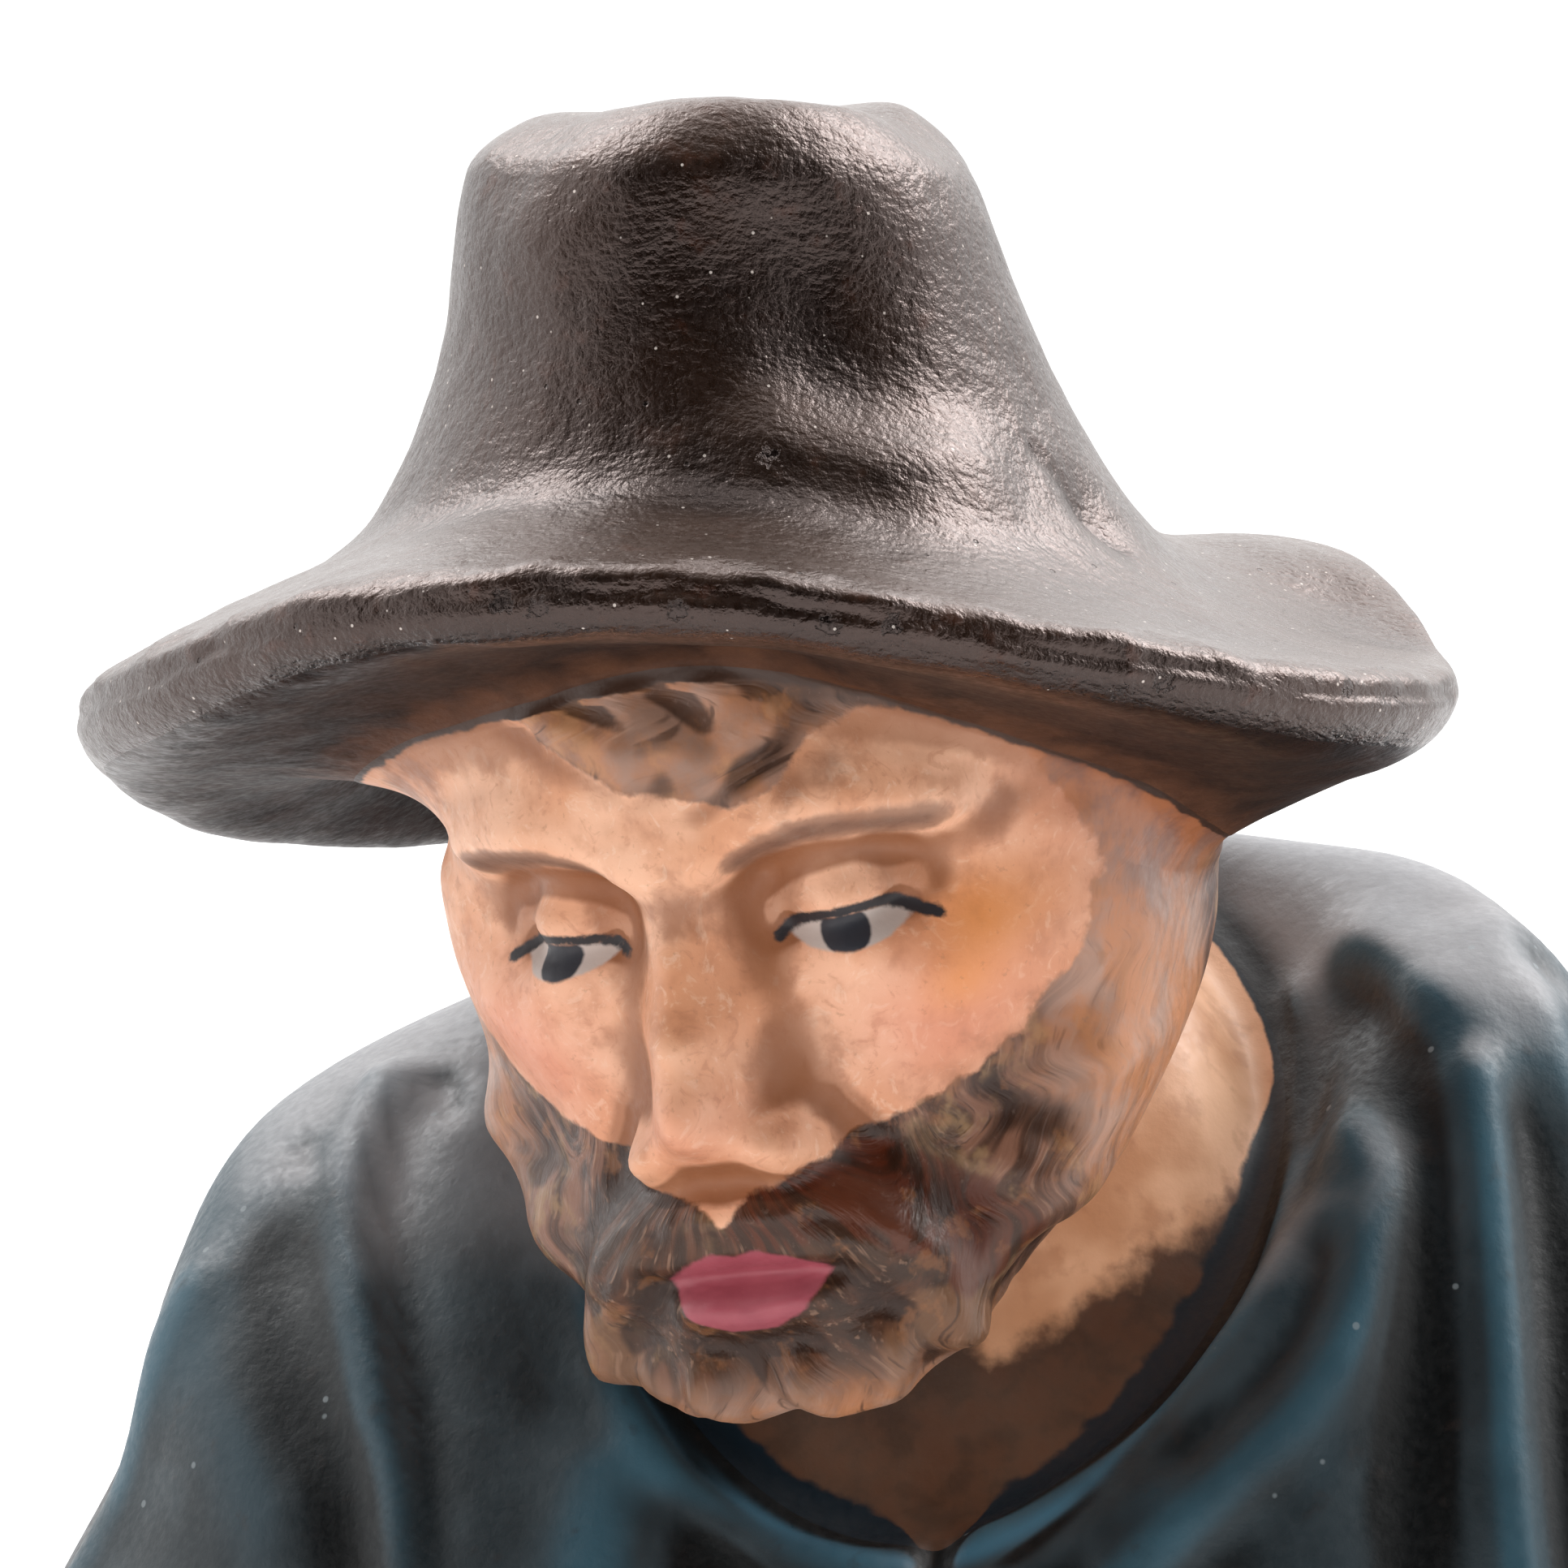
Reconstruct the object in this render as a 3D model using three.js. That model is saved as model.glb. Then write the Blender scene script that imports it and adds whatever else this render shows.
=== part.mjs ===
// A nativity shepherd figure, built as a bust: one cast, painted terracotta piece,
// cut flat below the chest. It is skinned as one loft of rings that climbs from the
// flat underside over the smock, collar, neck, beard and face, out along the
// underside of the hat brim, round its lip, and up the crown. Carved relief then
// moves the skin in or out along its own normal.
// Millimetres, +Z up, the figure faces -Y, origin at the middle of the underside.
import * as THREE from 'three';
import { LoftGeometry } from 'three/addons/geometries/LoftGeometry.js';

// Driving dimensions
const COLUMNS = 64; // points in each ring
const FRONT_CROWDING = 0.42; // how far the points gather towards the front

const HEAD = {
  centre: [-2.4, -7.0, 25.6], // on the eye line, midway through the head
  turn: -14,
  bow: 13,
  lean: -9,
  eyeLine: 13, // height of the centre above the chin
};
const HAT_CENTRE = [-3.5, -8.0, 27.0];
// Brim edge every 30 degrees from the front towards the figure's left
const BRIM_HEIGHTS = [4.15, 2.9, 1.3, 0.8, 2.3, 1.2, -1.2, -4.0, -3.5, -1.1, 0.8, 3.3];
const BRIM_RADII = [15.7, 15.7, 16.4, 15.8, 14.8, 15.0, 15.4, 15.5, 15.7, 15.7, 15.6, 15.7];

const rad = THREE.MathUtils.degToRad;
const clamp = THREE.MathUtils.clamp;

// A tilted local frame as a matrix
function frameOf({ centre, turn = 0, bow = 0, lean = 0 }) {
  const turned = new THREE.Euler(rad(bow), rad(lean), rad(turn), 'ZXY');
  return new THREE.Matrix4().makeRotationFromEuler(turned).setPosition(...centre);
}
const BODY_FRAME = new THREE.Matrix4();
const HEAD_FRAME = frameOf(HEAD);
const HAT_FRAME = frameOf({ centre: HAT_CENTRE });

// A smooth closed curve through evenly spaced values
function around(values, angle) {
  const n = values.length;
  const at = (((angle / (2 * Math.PI)) % 1) + 1) % 1 * n;
  const i = Math.floor(at);
  const t = at - i;
  const [a, b, c, d] = [-1, 0, 1, 2].map((k) => values[(i + k + n) % n]);
  return b + 0.5 * t * (c - a + t * (2 * a - 5 * b + 4 * c - d + t * (3 * (b - c) + d - a)));
}

// A ring: half sizes and heights towards the front, its left, the back and its right.
// Its back can ripple in locks of hair, and its height can follow the wave of the brim.
function ring(frame, { at = [0, 0], size, height, square = 2, wave = 0, locks = 0 }) {
  return (angle) => {
    const s = Math.sin(angle);
    const c = Math.cos(angle);
    const lock = 1 + locks * Math.cos(11 * angle) * clamp(-3 * c, 0, 1);
    const bulge = lock * (Math.abs(s) ** square + Math.abs(c) ** square) ** (-1 / square);
    const x = at[0] + (s > 0 ? size[1] : size[3]) * s * bulge;
    const y = at[1] - (c > 0 ? size[0] : size[2]) * c * bulge;
    const z = around(height, angle) + wave * around(BRIM_HEIGHTS, angle);
    return new THREE.Vector3(x, y, z).applyMatrix4(frame);
  };
}
const smockRing = (rows, spec) => ({ part: 'smock', rows, curve: ring(BODY_FRAME, spec) });
const neckRing = (rows, spec) => ({ part: 'neck', rows, curve: ring(BODY_FRAME, spec) });
// Hat columns follow those of the turned head below them
const hatAngle = (angle) => angle + rad(HEAD.turn);
const hatRing = (rows, spec) => {
  const curve = ring(HAT_FRAME, spec);
  return { part: 'hat', rows, curve: (angle) => curve(hatAngle(angle)) };
};
const headRing = (rows, spec) => {
  const height = spec.height.map((h) => h - HEAD.eyeLine);
  return { part: 'head', rows, curve: ring(HEAD_FRAME, { ...spec, height }) };
};
// A ring that follows the brim's edge, moved in and up by so much
const edgeRing = (rows, inset, lift) => ({
  part: 'hat',
  rows,
  curve: (headAngle) => {
    const angle = hatAngle(headAngle);
    const radius = around(BRIM_RADII, angle) - inset;
    const height = around(BRIM_HEIGHTS, angle) + around(lift, angle);
    return new THREE.Vector3(Math.sin(angle) * radius, -Math.cos(angle) * radius, height)
      .applyMatrix4(HAT_FRAME);
  },
});

// Rings from the underside up, each with the rows that lead to the next
const RINGS = [
  // Smock
  smockRing(4, { size: [11.5, 23, 12, 23], height: [0, 0, 0, 0], square: 2.7 }),
  smockRing(3, { size: [11.3, 21.5, 12, 21.4], height: [2.4, 4.8, 5, 4.4], square: 2.7 }),
  smockRing(3, { size: [11.1, 20.3, 11.8, 19.4], height: [4.2, 9.4, 9.6, 8.4], square: 2.6 }),
  smockRing(3, { size: [10.9, 18.6, 11.2, 18.4], height: [5.5, 13.3, 13.5, 12.4], square: 2.4 }),
  smockRing(3, { size: [10.7, 15.9, 9.8, 16.6], height: [6.3, 17.0, 17.2, 15.2], square: 2.2 }),
  smockRing(3, { size: [10.5, 13, 8.4, 12.2], height: [6.8, 20.6, 20.5, 17.0], square: 2.1 }),
  // Collar: foot, crest, inner edge
  smockRing(2, { at: [0, -1], size: [9.3, 9.8, 8, 9.6], height: [7.0, 19.2, 22.5, 16.9] }),
  smockRing(1, { at: [0, -1.9], size: [7.9, 8.5, 8, 8.5], height: [7.5, 16.4, 22.6, 15.4] }),
  smockRing(1, { at: [0, -1.8], size: [7.5, 8.0, 7.2, 8.0], height: [7.9, 16.5, 22.6, 15.6] }),
  neckRing(2, { at: [0, -1.7], size: [6.6, 7.3, 6.4, 7.3], height: [8.1, 16.2, 22.1, 15.3] }),
  // Neck
  neckRing(3, { at: [-0.7, -2.0], size: [5.2, 6.7, 5.4, 6.3], height: [10.5, 18, 22.1, 17.2] }),
  neckRing(2, { at: [-1.2, -2.6], size: [4.4, 5.4, 4.8, 4.8], height: [13.6, 19.2, 22.3, 18.2] }),
  // Under the jaw, beard, mouth, eyes, forehead
  headRing(3, { size: [6.8, 6.2, 8.4, 6.4], height: [1.2, 5, 8.4, 6] }),
  headRing(3, { size: [9.2, 7.4, 9, 7.4], height: [0.9, 5.9, 8.6, 6.5], locks: 0.005 }),
  headRing(5, { size: [10, 7.9, 9.4, 7.9], height: [2.6, 7, 8.8, 7.4], square: 2.1, locks: 0.007 }),
  headRing(5, {
    size: [9.6, 8.1, 9.6, 8.1],
    height: [6.6, 7.6, 8.2, 8.4, 9.1, 9.6, 9.6, 8.1],
    square: 2.1,
    locks: 0.007,
  }),
  headRing(4, {
    size: [9.2, 8.2, 9.6, 8.3],
    height: [12, 11.4, 9, 8.6, 9.4, 10.6, 11.9, 12],
    square: 2.1,
    locks: 0.007,
  }),
  headRing(3, {
    size: [9.8, 8.4, 9.6, 8.4], height: [15.4, 13.8, 9.5, 8.9, 9.7, 11.2, 13, 14.6], locks: 0.005,
  }),
  // Underside of the brim
  hatRing(2, { size: [8.6, 10.6, 12, 9.4], height: [2, -0.2, -2.8, -1.8, -0.8, -1.2, -1.9, 0.2] }),
  hatRing(2, { size: [11.8, 12.8, 13.4, 12.1], height: [0.9, -2.1, -1.2, -1.4], wave: 0.5 }),
  // Lip
  edgeRing(1, 0.8, [-0.75, -1.3, -1.1, -1.1]),
  edgeRing(1, 0, [-0.2, -0.3, -0.2, -0.2]),
  edgeRing(1, 0.15, [0.7, 0.4, 0.8, 0.8]),
  // Top of the brim
  hatRing(2, { size: [12.4, 12.4, 12.4, 12.4], height: [2.1, 1.4, 1.8, 2.6], wave: 0.75 }),
  hatRing(2, { at: [-0.2, 0], size: [10, 9.9, 10, 9.7], height: [3.9, 2.6, 2.0, 3.4], wave: 0.4 }),
  // Crown
  hatRing(2, { at: [-0.25, 0], size: [8.8, 8.5, 8.8, 8.4], height: [5.6, 4.3, 4.3, 4.4], wave: 0.1 }),
  hatRing(2, { at: [-0.5, -0.1], size: [7.9, 7.1, 7.9, 7.0], height: [7.7, 7.4, 7.4, 7.4] }),
  hatRing(2, { at: [-0.7, -0.3], size: [7.1, 6.3, 7.1, 6.3], height: [9.8, 9.7, 9.7, 9.7] }),
  hatRing(2, { at: [-1.0, -0.5], size: [6.6, 5.9, 6.8, 5.9], height: [12.1, 11.8, 11.7, 11.8] }),
  hatRing(1, { at: [-1.1, -0.6], size: [6.0, 5.2, 6.1, 5.2], height: [13.35, 13.0, 12.6, 12.8] }),
  hatRing(1, { at: [-0.9, -0.6], size: [4.6, 3.9, 4.6, 3.9], height: [14.2, 13.8, 13.2, 13.5] }),
  hatRing(1, { at: [-0.9, -0.6], size: [2.6, 2, 2.6, 2], height: [13.9, 13.6, 13.3, 13.5] }),
  hatRing(0, { at: [-0.9, -0.6], size: [1.1, 0.9, 1.1, 0.9], height: [13.8, 13.65, 13.5, 13.6] }),
];

// A smooth curve through the points of a path; a path in two measures lies at depth 0
const PATH_STEPS = 3;
function curved(path) {
  const points = path.map(([x, y, z = 0]) => new THREE.Vector3(x, y, z));
  if (points.length < 3) return points;
  return new THREE.CatmullRomCurve3(points).getPoints(PATH_STEPS * (points.length - 1));
}

// Carved relief: a rounded ridge (or groove, with a negative height) along a path,
// as wide each side as its width. A path of one point is a mound or a dent.
const stroke = (width, height, ...path) => ({ width, height, path: curved(path), fades: false });
// A stroke that rises out of the surface at one end and sinks back into it at the other
const fold = (width, height, ...path) => ({ width, height, path: curved(path), fades: true });
const bothSides = (strokes) => strokes.flatMap((s) => [
  s,
  { ...s, path: s.path.map((p) => p.clone().setX(-p.x)) },
]);

// Folds of the smock, in the body's frame
const SMOCK_RELIEF = [
  // Its left breast: a groove and a fold beside the collar, a valley, then the armhole fold
  fold(0.6, -0.3, [9.3, -5.7, 15.4], [8.8, -7.6, 12.9], [7.3, -8.6, 11.1], [5.3, -9.6, 9.2]),
  fold(
    0.8, 0.5,
    [8.6, -3.2, 17.6], [10.2, -5.5, 16.4], [10.3, -6.8, 14.9],
    [10, -7.9, 13], [8.7, -9, 11], [6.7, -9.8, 9.2],
    [3.6, -10.8, 6],
  ),
  fold(
    1.1, -0.6,
    [9, 1.6, 20.2], [10.7, -3.3, 17.8], [11.4, -6, 14.8],
    [11.4, -7.3, 11.5], [11.4, -9, 8], [11.4, -11, -5],
  ),
  fold(
    0.65, 0.6,
    [12.2, -2.6, 19], [13, -5.4, 15.4], [13.4, -7, 12.3], [13.9, -9.1, 8.4], [14.6, -10.6, -5],
  ),
  fold(0.8, -0.5, [13.2, -2.4, 18.4], [14.2, -5.1, 12.9], [14.9, -8, 8], [16, -10.2, -5]),
  fold(0.7, 0.4, [13.2, -0.2, 20.2], [14.2, -1.8, 17.9], [15.2, -3.2, 15.2]),
  // Its right breast: the armhole fold between two grooves, a crease and a dimple
  fold(
    0.65, 0.6,
    [-13.2, 1.6, 17.6], [-13.9, -3, 15.5], [-13.5, -5.3, 13.5],
    [-12.8, -7.4, 11.3], [-12, -9.9, 7.5], [-11.2, -11, -5],
  ),
  fold(
    1.3, -0.6,
    [-15.6, -1.6, 15], [-14.9, -4.4, 12.2], [-14, -6.4, 10], [-13, -8.7, 7.3],
    [-12.6, -10.6, -5],
  ),
  fold(
    0.9, -0.35,
    [-12.9, 0.5, 17.2], [-12.9, -4, 14.4], [-12.3, -6.6, 12], [-11.5, -8.9, 9], [-10.6, -11, -5],
  ),
  fold(0.35, -0.25, [-15.3, -0.4, 15.9], [-15.2, -1.4, 15.3], [-15, -2.4, 14.8]),
  stroke(0.45, -0.3, [-12, -0.2, 16.9], [-11.6, -1, 16.2]),
  // The edge where the cloth drops from its left shoulder, with the crease beyond it
  fold(0.9, 0.5, [8.7, 2.8, 21.2], [10, 0.2, 20.4], [11, -1.4, 19.8], [12.3, -3.2, 18.9]),
  fold(0.7, -0.35, [12.6, 1.6, 20.4], [13.6, 0.6, 19.6], [14.6, -0.1, 18.8]),
  stroke(1.3, -0.4, [11.9, 4.5, 20.5], [12.1, 2.4, 20.3]),
  // The rolled edge of the collar, from behind its right shoulder round to its left,
  // with the small split at the throat
  fold(
    0.6, 0.35,
    [-8.7, 2.5, 18.2], [-8.3, -3.6, 14.4], [-7.7, -6.4, 12.3],
    [-7, -7.6, 10.9], [-5.9, -8.8, 9.6], [-4.7, -9.2, 8.7],
    [-3.1, -9.6, 7.8], [-1.2, -9.9, 7.5], [0.4, -9.9, 7.4],
  ),
  fold(
    0.6, 0.35,
    [0.7, -9.8, 7.5], [2.8, -8.9, 8.8], [4.8, -8.3, 10],
    [6.5, -7.6, 11.8], [7.7, -6.6, 13.4], [8.3, -3.9, 15.1],
    [8.3, -1.1, 16.9], [8.2, 2.5, 19.6],
  ),
  stroke(0.45, -0.35, [0.55, -9.4, 7.9], [0.55, -10.3, 7.1]),
  // Below the collar
  stroke(1.5, 0.4, [0.8, -10.4, 6], [1.4, -11.5, -5]),
  stroke(1.4, -0.4, [-4.2, -10.2, 7], [-5, -11.5, -5]),
  stroke(1.4, 0.4, [-7.2, -9.6, 9.5], [-7.6, -11.4, -5]),
  // Sleeves and back
  ...bothSides([
    stroke(1.1, 0.5, [18, -3.2, 12.5], [20.4, -4, 7], [22.4, -4, -5]),
    stroke(1.0, -0.5, [19.2, 1, 12], [20.8, 1.5, 7], [23, 1.5, -5]),
    stroke(1.1, 0.5, [18, 6.5, 13], [19.3, 7.5, 8], [20.8, 8.2, -5]),
    stroke(1.0, -0.6, [13.5, 8.5, 14.5], [14.5, 10.3, 9], [15.2, 11.1, -5]),
    stroke(1.2, 0.5, [9.5, 9.3, 15.5], [10.2, 11.3, 9], [11, 11.9, -5]),
  ]),
  stroke(1.4, -0.5, [4.5, 8.5, 18], [5.2, 11.4, 10], [6, 12, -5]),
  stroke(1.6, 0.4, [-1, 9, 18], [-0.6, 11.6, 10], [0.6, 12, -5]),
  stroke(1.4, -0.5, [-5, 8.6, 17.5], [-5.4, 11.4, 10], [-5, 12, -5]),
];

// Face, beard and hair, in the head's frame: across, and height above the chin
const FACE_RELIEF = [
  // Nose: bridge, back, ball
  stroke(1.05, 0.5, [0, 13.8], [0, 12]),
  stroke(1.0, 1.1, [0, 12.2], [0, 9.2]),
  stroke(1.15, 1.5, [0, 10.2], [0, 8.4]),
  stroke(1.05, 1.1, [0, 8.1]),
  // Mouth: mound, lips, their parting, the hollow below, and the chin under the beard
  stroke(2.4, 0.6, [-0.8, 4.4], [0.8, 4.4]),
  stroke(0.4, 0.35, [-1.8, 4.75], [-0.6, 5.1], [0.6, 5.1], [1.8, 4.75]),
  stroke(0.55, 0.55, [-1.1, 3.95], [0, 3.8], [1.1, 3.95]),
  stroke(0.3, -0.4, [-2, 4.5], [2, 4.5]),
  stroke(0.6, -0.45, [-0.8, 2.9], [0.8, 2.9]),
  stroke(1.7, 0.7, [-1.6, 1.6], [1.6, 1.6]),
  ...bothSides([
    stroke(0.75, 1.5, [1.45, 7.5]),
    // Eye socket, eyeball, the parting of the lids, brow
    stroke(1.45, -1.5, [2.4, 12.8], [4.3, 12.7]),
    stroke(1.35, 1.5, [3.45, 12.3]),
    stroke(0.4, 0.25, [2, 12.4], [3.45, 12.8], [4.9, 12.4]),
    stroke(0.35, -0.3, [2.3, 12], [3.45, 11.95], [4.6, 12]),
    stroke(0.8, 0.55, [1.3, 14.1], [3.4, 14.8], [5.6, 14.1]),
    // Cheek
    stroke(1.6, 0.55, [4.6, 10.4], [5.8, 10.6]),
    stroke(1.5, -0.2, [5.4, 7.4]),
    stroke(0.5, -0.3, [2.3, 7.9], [3.2, 6.9]),
    // Moustache
    stroke(0.75, 1.1, [0.6, 6], [1.9, 5.7], [3.1, 4.8], [3.8, 3.7], [3.8, 2.8]),
    fold(0.3, -0.3, [1.0, 5.9], [2.3, 5.5], [3.3, 4.5], [3.9, 3.4]),
    // Sideburn and the locks along the jaw
    stroke(0.8, 0.45, [7.5, 12.5], [7.8, 9.5], [7.1, 7]),
    fold(0.6, 0.45, [6.4, 8.6], [7.0, 6.6], [6.2, 4.8], [5.6, 3.0]),
    fold(0.55, 0.4, [4.9, 6.6], [5.7, 5.2], [5.0, 3.6], [4.6, 2.0]),
    // The rounded lower corner of the beard
    stroke(1.5, -0.7, [5.0, 2.3], [4.4, 1.2]),
  ]),
  // Chin beard: wavy locks either side of a parting, one of them curled round
  fold(0.5, 0.5, [-3.6, 3.9], [-3.9, 2.9], [-3.3, 1.9], [-3.4, 0.8]),
  fold(0.4, 0.45, [-2.4, 3.2], [-2.7, 2.3], [-2.2, 1.4], [-2.3, 0.3]),
  fold(0.4, 0.45, [-1.1, 3.0], [-1.5, 2.1], [-1.1, 1.2], [-1.3, 0.1]),
  fold(0.35, -0.45, [-0.2, 3.0], [-0.3, 1.9], [-0.1, 1.0], [-0.4, -0.1]),
  fold(0.4, 0.45, [0.6, 1.0], [0.4, 0.5], [0.5, -0.2]),
  fold(0.4, 0.5, [2.3, 3.4], [2.6, 2.4], [2.0, 1.4], [1.1, 1.3], [0.7, 2.1], [1.2, 2.8]),
  fold(0.45, 0.45, [3.4, 3.6], [3.9, 2.5], [3.4, 1.4], [2.6, 0.6], [2.2, 0.0]),
  // Tuft of hair on the forehead
  stroke(0.6, 0.45, [-3.4, 18.6], [-2.0, 17.4], [-0.2, 16.6]),
  stroke(0.6, 0.45, [-1.4, 18.8], [0.1, 17.5], [1.3, 16.3]),
  stroke(0.6, 0.4, [1.0, 18.8], [1.7, 17.7], [2.2, 16.9]),
];

// Dents and swells of the hat, in the body's frame
const HAT_RELIEF = [
  // The worn corners of the crown, the dent in its front, the swell under that, and knocks
  stroke(1.7, -0.5, [-7.9, -12.6, 40.0]),
  stroke(1.5, -0.4, [-0.4, -9.5, 40.8]),
  stroke(1.8, 0.3, [-3.8, -12.6, 41.2]),
  stroke(1.8, -0.3, [-3.0, -14.4, 38.6]),
  stroke(2.3, -0.4, [-2.2, -14.6, 37.2]),
  stroke(1.9, -0.35, [-1.2, -15.0, 35.8]),
  stroke(1.2, 0.35, [-2.4, -15.9, 33.9], [-0.4, -15.3, 33.5], [1.6, -14.3, 33.1]),
  stroke(1.8, 0.3, [0.4, -15.4, 32.3]),
  stroke(1.3, 0.25, [-7.4, -12.8, 38.6]),
  stroke(1.0, -0.3, [4.4, -11, 32]),
  stroke(2.0, -0.4, [-4, -0.8, 37]),
];

// Relief at a point: its distance to each path, counted mostly across the surface
const DEPTH_SHARE = 0.25;
const FADE = 2.5; // widths over which a fold's end dies away
function reliefAt(strokes, point, normal) {
  const [along, off] = [new THREE.Vector3(), new THREE.Vector3()];
  return strokes.reduce((sum, { width, height, path, fades }) => {
    let [nearest, place, walked] = [Infinity, 0, 0];
    for (let i = 0; i < Math.max(path.length - 1, 1); i++) {
      along.copy(path[i + 1] ?? path[i]).sub(path[i]);
      off.copy(point).sub(path[i]);
      const share = clamp(off.dot(along) / (along.lengthSq() || 1), 0, 1);
      off.addScaledVector(along, -share);
      off.addScaledVector(normal, (DEPTH_SHARE - 1) * off.dot(normal));
      if (off.length() < nearest) {
        nearest = off.length();
        place = walked + share * along.length();
      }
      walked += along.length();
    }
    const toEnd = Math.min(place, walked - place);
    const fade = fades ? THREE.MathUtils.smoothstep(toEnd, 0, FADE * width) : 1;
    return sum + height * fade * Math.exp(-((nearest / width) ** 2));
  }, 0);
}

const toHead = HEAD_FRAME.clone().invert();
const lookingAtFace = new THREE.Vector3(0, 0, 1);
const RELIEF = {
  smock: (point, normal) => reliefAt(SMOCK_RELIEF, point, normal) * clamp(point.z / 0.8, 0, 1),
  neck: () => 0,
  hat: (point, normal) => reliefAt(HAT_RELIEF, point, normal),
  head: (point) => {
    const local = point.clone().applyMatrix4(toHead);
    const chart = new THREE.Vector3(local.x, local.z + HEAD.eyeLine, 0);
    const front = clamp(-local.y / 3, 0, 1) * clamp(chart.y / 1.5 - local.y / 2.2 - 3.9, 0, 1);
    const aboveEdge = THREE.MathUtils.smoothstep(chart.y, 0.1, 2.4);
    return front * aboveEdge * reliefAt(FACE_RELIEF, chart, lookingAtFace);
  },
};

// Ring angles from the front towards its left, gathered at the front
const angles = Array.from({ length: COLUMNS }, (_, i) => {
  const turn = 2 * Math.PI * i / COLUMNS;
  return turn - FRONT_CROWDING * Math.sin(turn);
});

// A smooth curve through points, sampled with the rows that each stretch asks for
function throughPoints(points, rows) {
  const chord = points.slice(1).map((p, i) => p.distanceTo(points[i]));
  const tangents = points.map((p, i) => {
    const before = points[Math.max(i - 1, 0)];
    const after = points[Math.min(i + 1, points.length - 1)];
    const length = (chord[i - 1] ?? 0) + (chord[i] ?? 0);
    return after.clone().sub(before).divideScalar(length);
  });
  const out = [];
  points.slice(1).forEach((end, i) => {
    for (let k = 0; k < rows[i]; k++) {
      const t = k / rows[i];
      const [a, b] = [t * t * (3 - 2 * t), t * (1 - t)];
      out.push(points[i].clone().lerp(end, a)
        .addScaledVector(tangents[i], chord[i] * b * (1 - t))
        .addScaledVector(tangents[i + 1], -chord[i] * b * t));
    }
  });
  out.push(points.at(-1));
  return out;
}

const rowCounts = RINGS.map((r) => r.rows);
const columns = angles.map((angle) => throughPoints(RINGS.map((r) => r.curve(angle)), rowCounts));
const skin = columns[0].map((_, row) => columns.map((column) => column[row]));
const partOfRow = [...RINGS.flatMap((r) => Array(r.rows).fill(r.part)), 'hat'];

// Outward normal of the skin from its neighbours in the grid
function normalAt(row, column) {
  const right = skin[row][(column + 1) % COLUMNS];
  const left = skin[row][(column + COLUMNS - 1) % COLUMNS];
  const up = skin[Math.min(row + 1, skin.length - 1)][column];
  const down = skin[Math.max(row - 1, 0)][column];
  return right.clone().sub(left).cross(up.clone().sub(down)).normalize();
}

const carved = skin.map((points, row) => points.map((point, column) => {
  const normal = normalAt(row, column);
  const relief = RELIEF[partOfRow[row]](point, normal);
  return point.clone().addScaledVector(normal, relief);
}));

const bust = new THREE.Mesh(
  new LoftGeometry(carved, { capStart: true, capEnd: true }),
  new THREE.MeshStandardMaterial({ color: 0x4c4a4d, roughness: 0.5, metalness: 0 }),
);
bust.name = 'shepherd_bust';

const figure = new THREE.Group();
figure.add(bust);
export default figure;
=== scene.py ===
import math

import bpy
import numpy as np
from mathutils import Matrix, Vector, noise


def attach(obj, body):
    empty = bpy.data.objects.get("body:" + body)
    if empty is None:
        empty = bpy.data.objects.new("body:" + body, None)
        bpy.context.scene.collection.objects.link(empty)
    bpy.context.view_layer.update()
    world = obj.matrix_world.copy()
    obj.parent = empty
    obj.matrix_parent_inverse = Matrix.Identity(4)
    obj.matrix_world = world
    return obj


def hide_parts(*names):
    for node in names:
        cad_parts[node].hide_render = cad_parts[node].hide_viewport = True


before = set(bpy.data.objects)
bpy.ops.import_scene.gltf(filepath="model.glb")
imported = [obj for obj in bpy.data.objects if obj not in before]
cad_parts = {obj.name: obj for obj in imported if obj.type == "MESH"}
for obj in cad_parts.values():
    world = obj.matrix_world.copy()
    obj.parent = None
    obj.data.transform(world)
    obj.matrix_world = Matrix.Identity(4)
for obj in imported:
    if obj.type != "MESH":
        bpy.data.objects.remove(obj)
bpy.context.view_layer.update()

MM = 0.001
COLUMNS = 280
FRONT_CROWDING = 0.42  # how far, in radians, the columns crowd towards the front
PATH_STEPS = 4  # straight steps between the points of a stroke's path

# The head's centre lies on its eye line; it turns, bows and leans by so many degrees
HEAD_CENTRE = (-2.4, -7.0, 25.6)
HEAD_TURN, HEAD_BOW, HEAD_LEAN = -14, 13, -9
EYE_LINE = 13.0  # above the chin
HEAD_RADIUS = 8.8
BACK_LOCKS = 11  # waves of hair round a whole turn of the head

# The brim's edge, every 30 degrees from its front round by its left
HAT_CENTRE = (-3.5, -8.0, 27.0)
BRIM_HEIGHTS = [4.15, 2.9, 1.3, 0.8, 2.3, 1.2, -1.2, -4.0, -3.5, -1.1, 0.8, 3.3]
BRIM_RADII = [15.7, 15.7, 16.4, 15.8, 14.8, 15.0, 15.4, 15.5, 15.7, 15.7, 15.6, 15.7]


# Small helpers

def frame_of(centre, turn=0.0, bow=0.0, lean=0.0):
    """A tilted local frame as a 4x4 array."""
    rotation = (
        Matrix.Rotation(math.radians(turn), 4, "Z")
        @ Matrix.Rotation(math.radians(bow), 4, "X")
        @ Matrix.Rotation(math.radians(lean), 4, "Y")
    )
    return np.array(Matrix.Translation(centre) @ rotation)


def apply(matrix, points):
    """Points carried through a 4x4 matrix."""
    return points @ matrix[:3, :3].T + matrix[:3, 3]


def clamp(values):
    return np.clip(values, 0.0, 1.0)


def smooth(values, low, high):
    """0 below low, 1 above high, an S curve between them."""
    t = clamp((values - low) / (high - low))
    return t * t * (3 - 2 * t)


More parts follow.
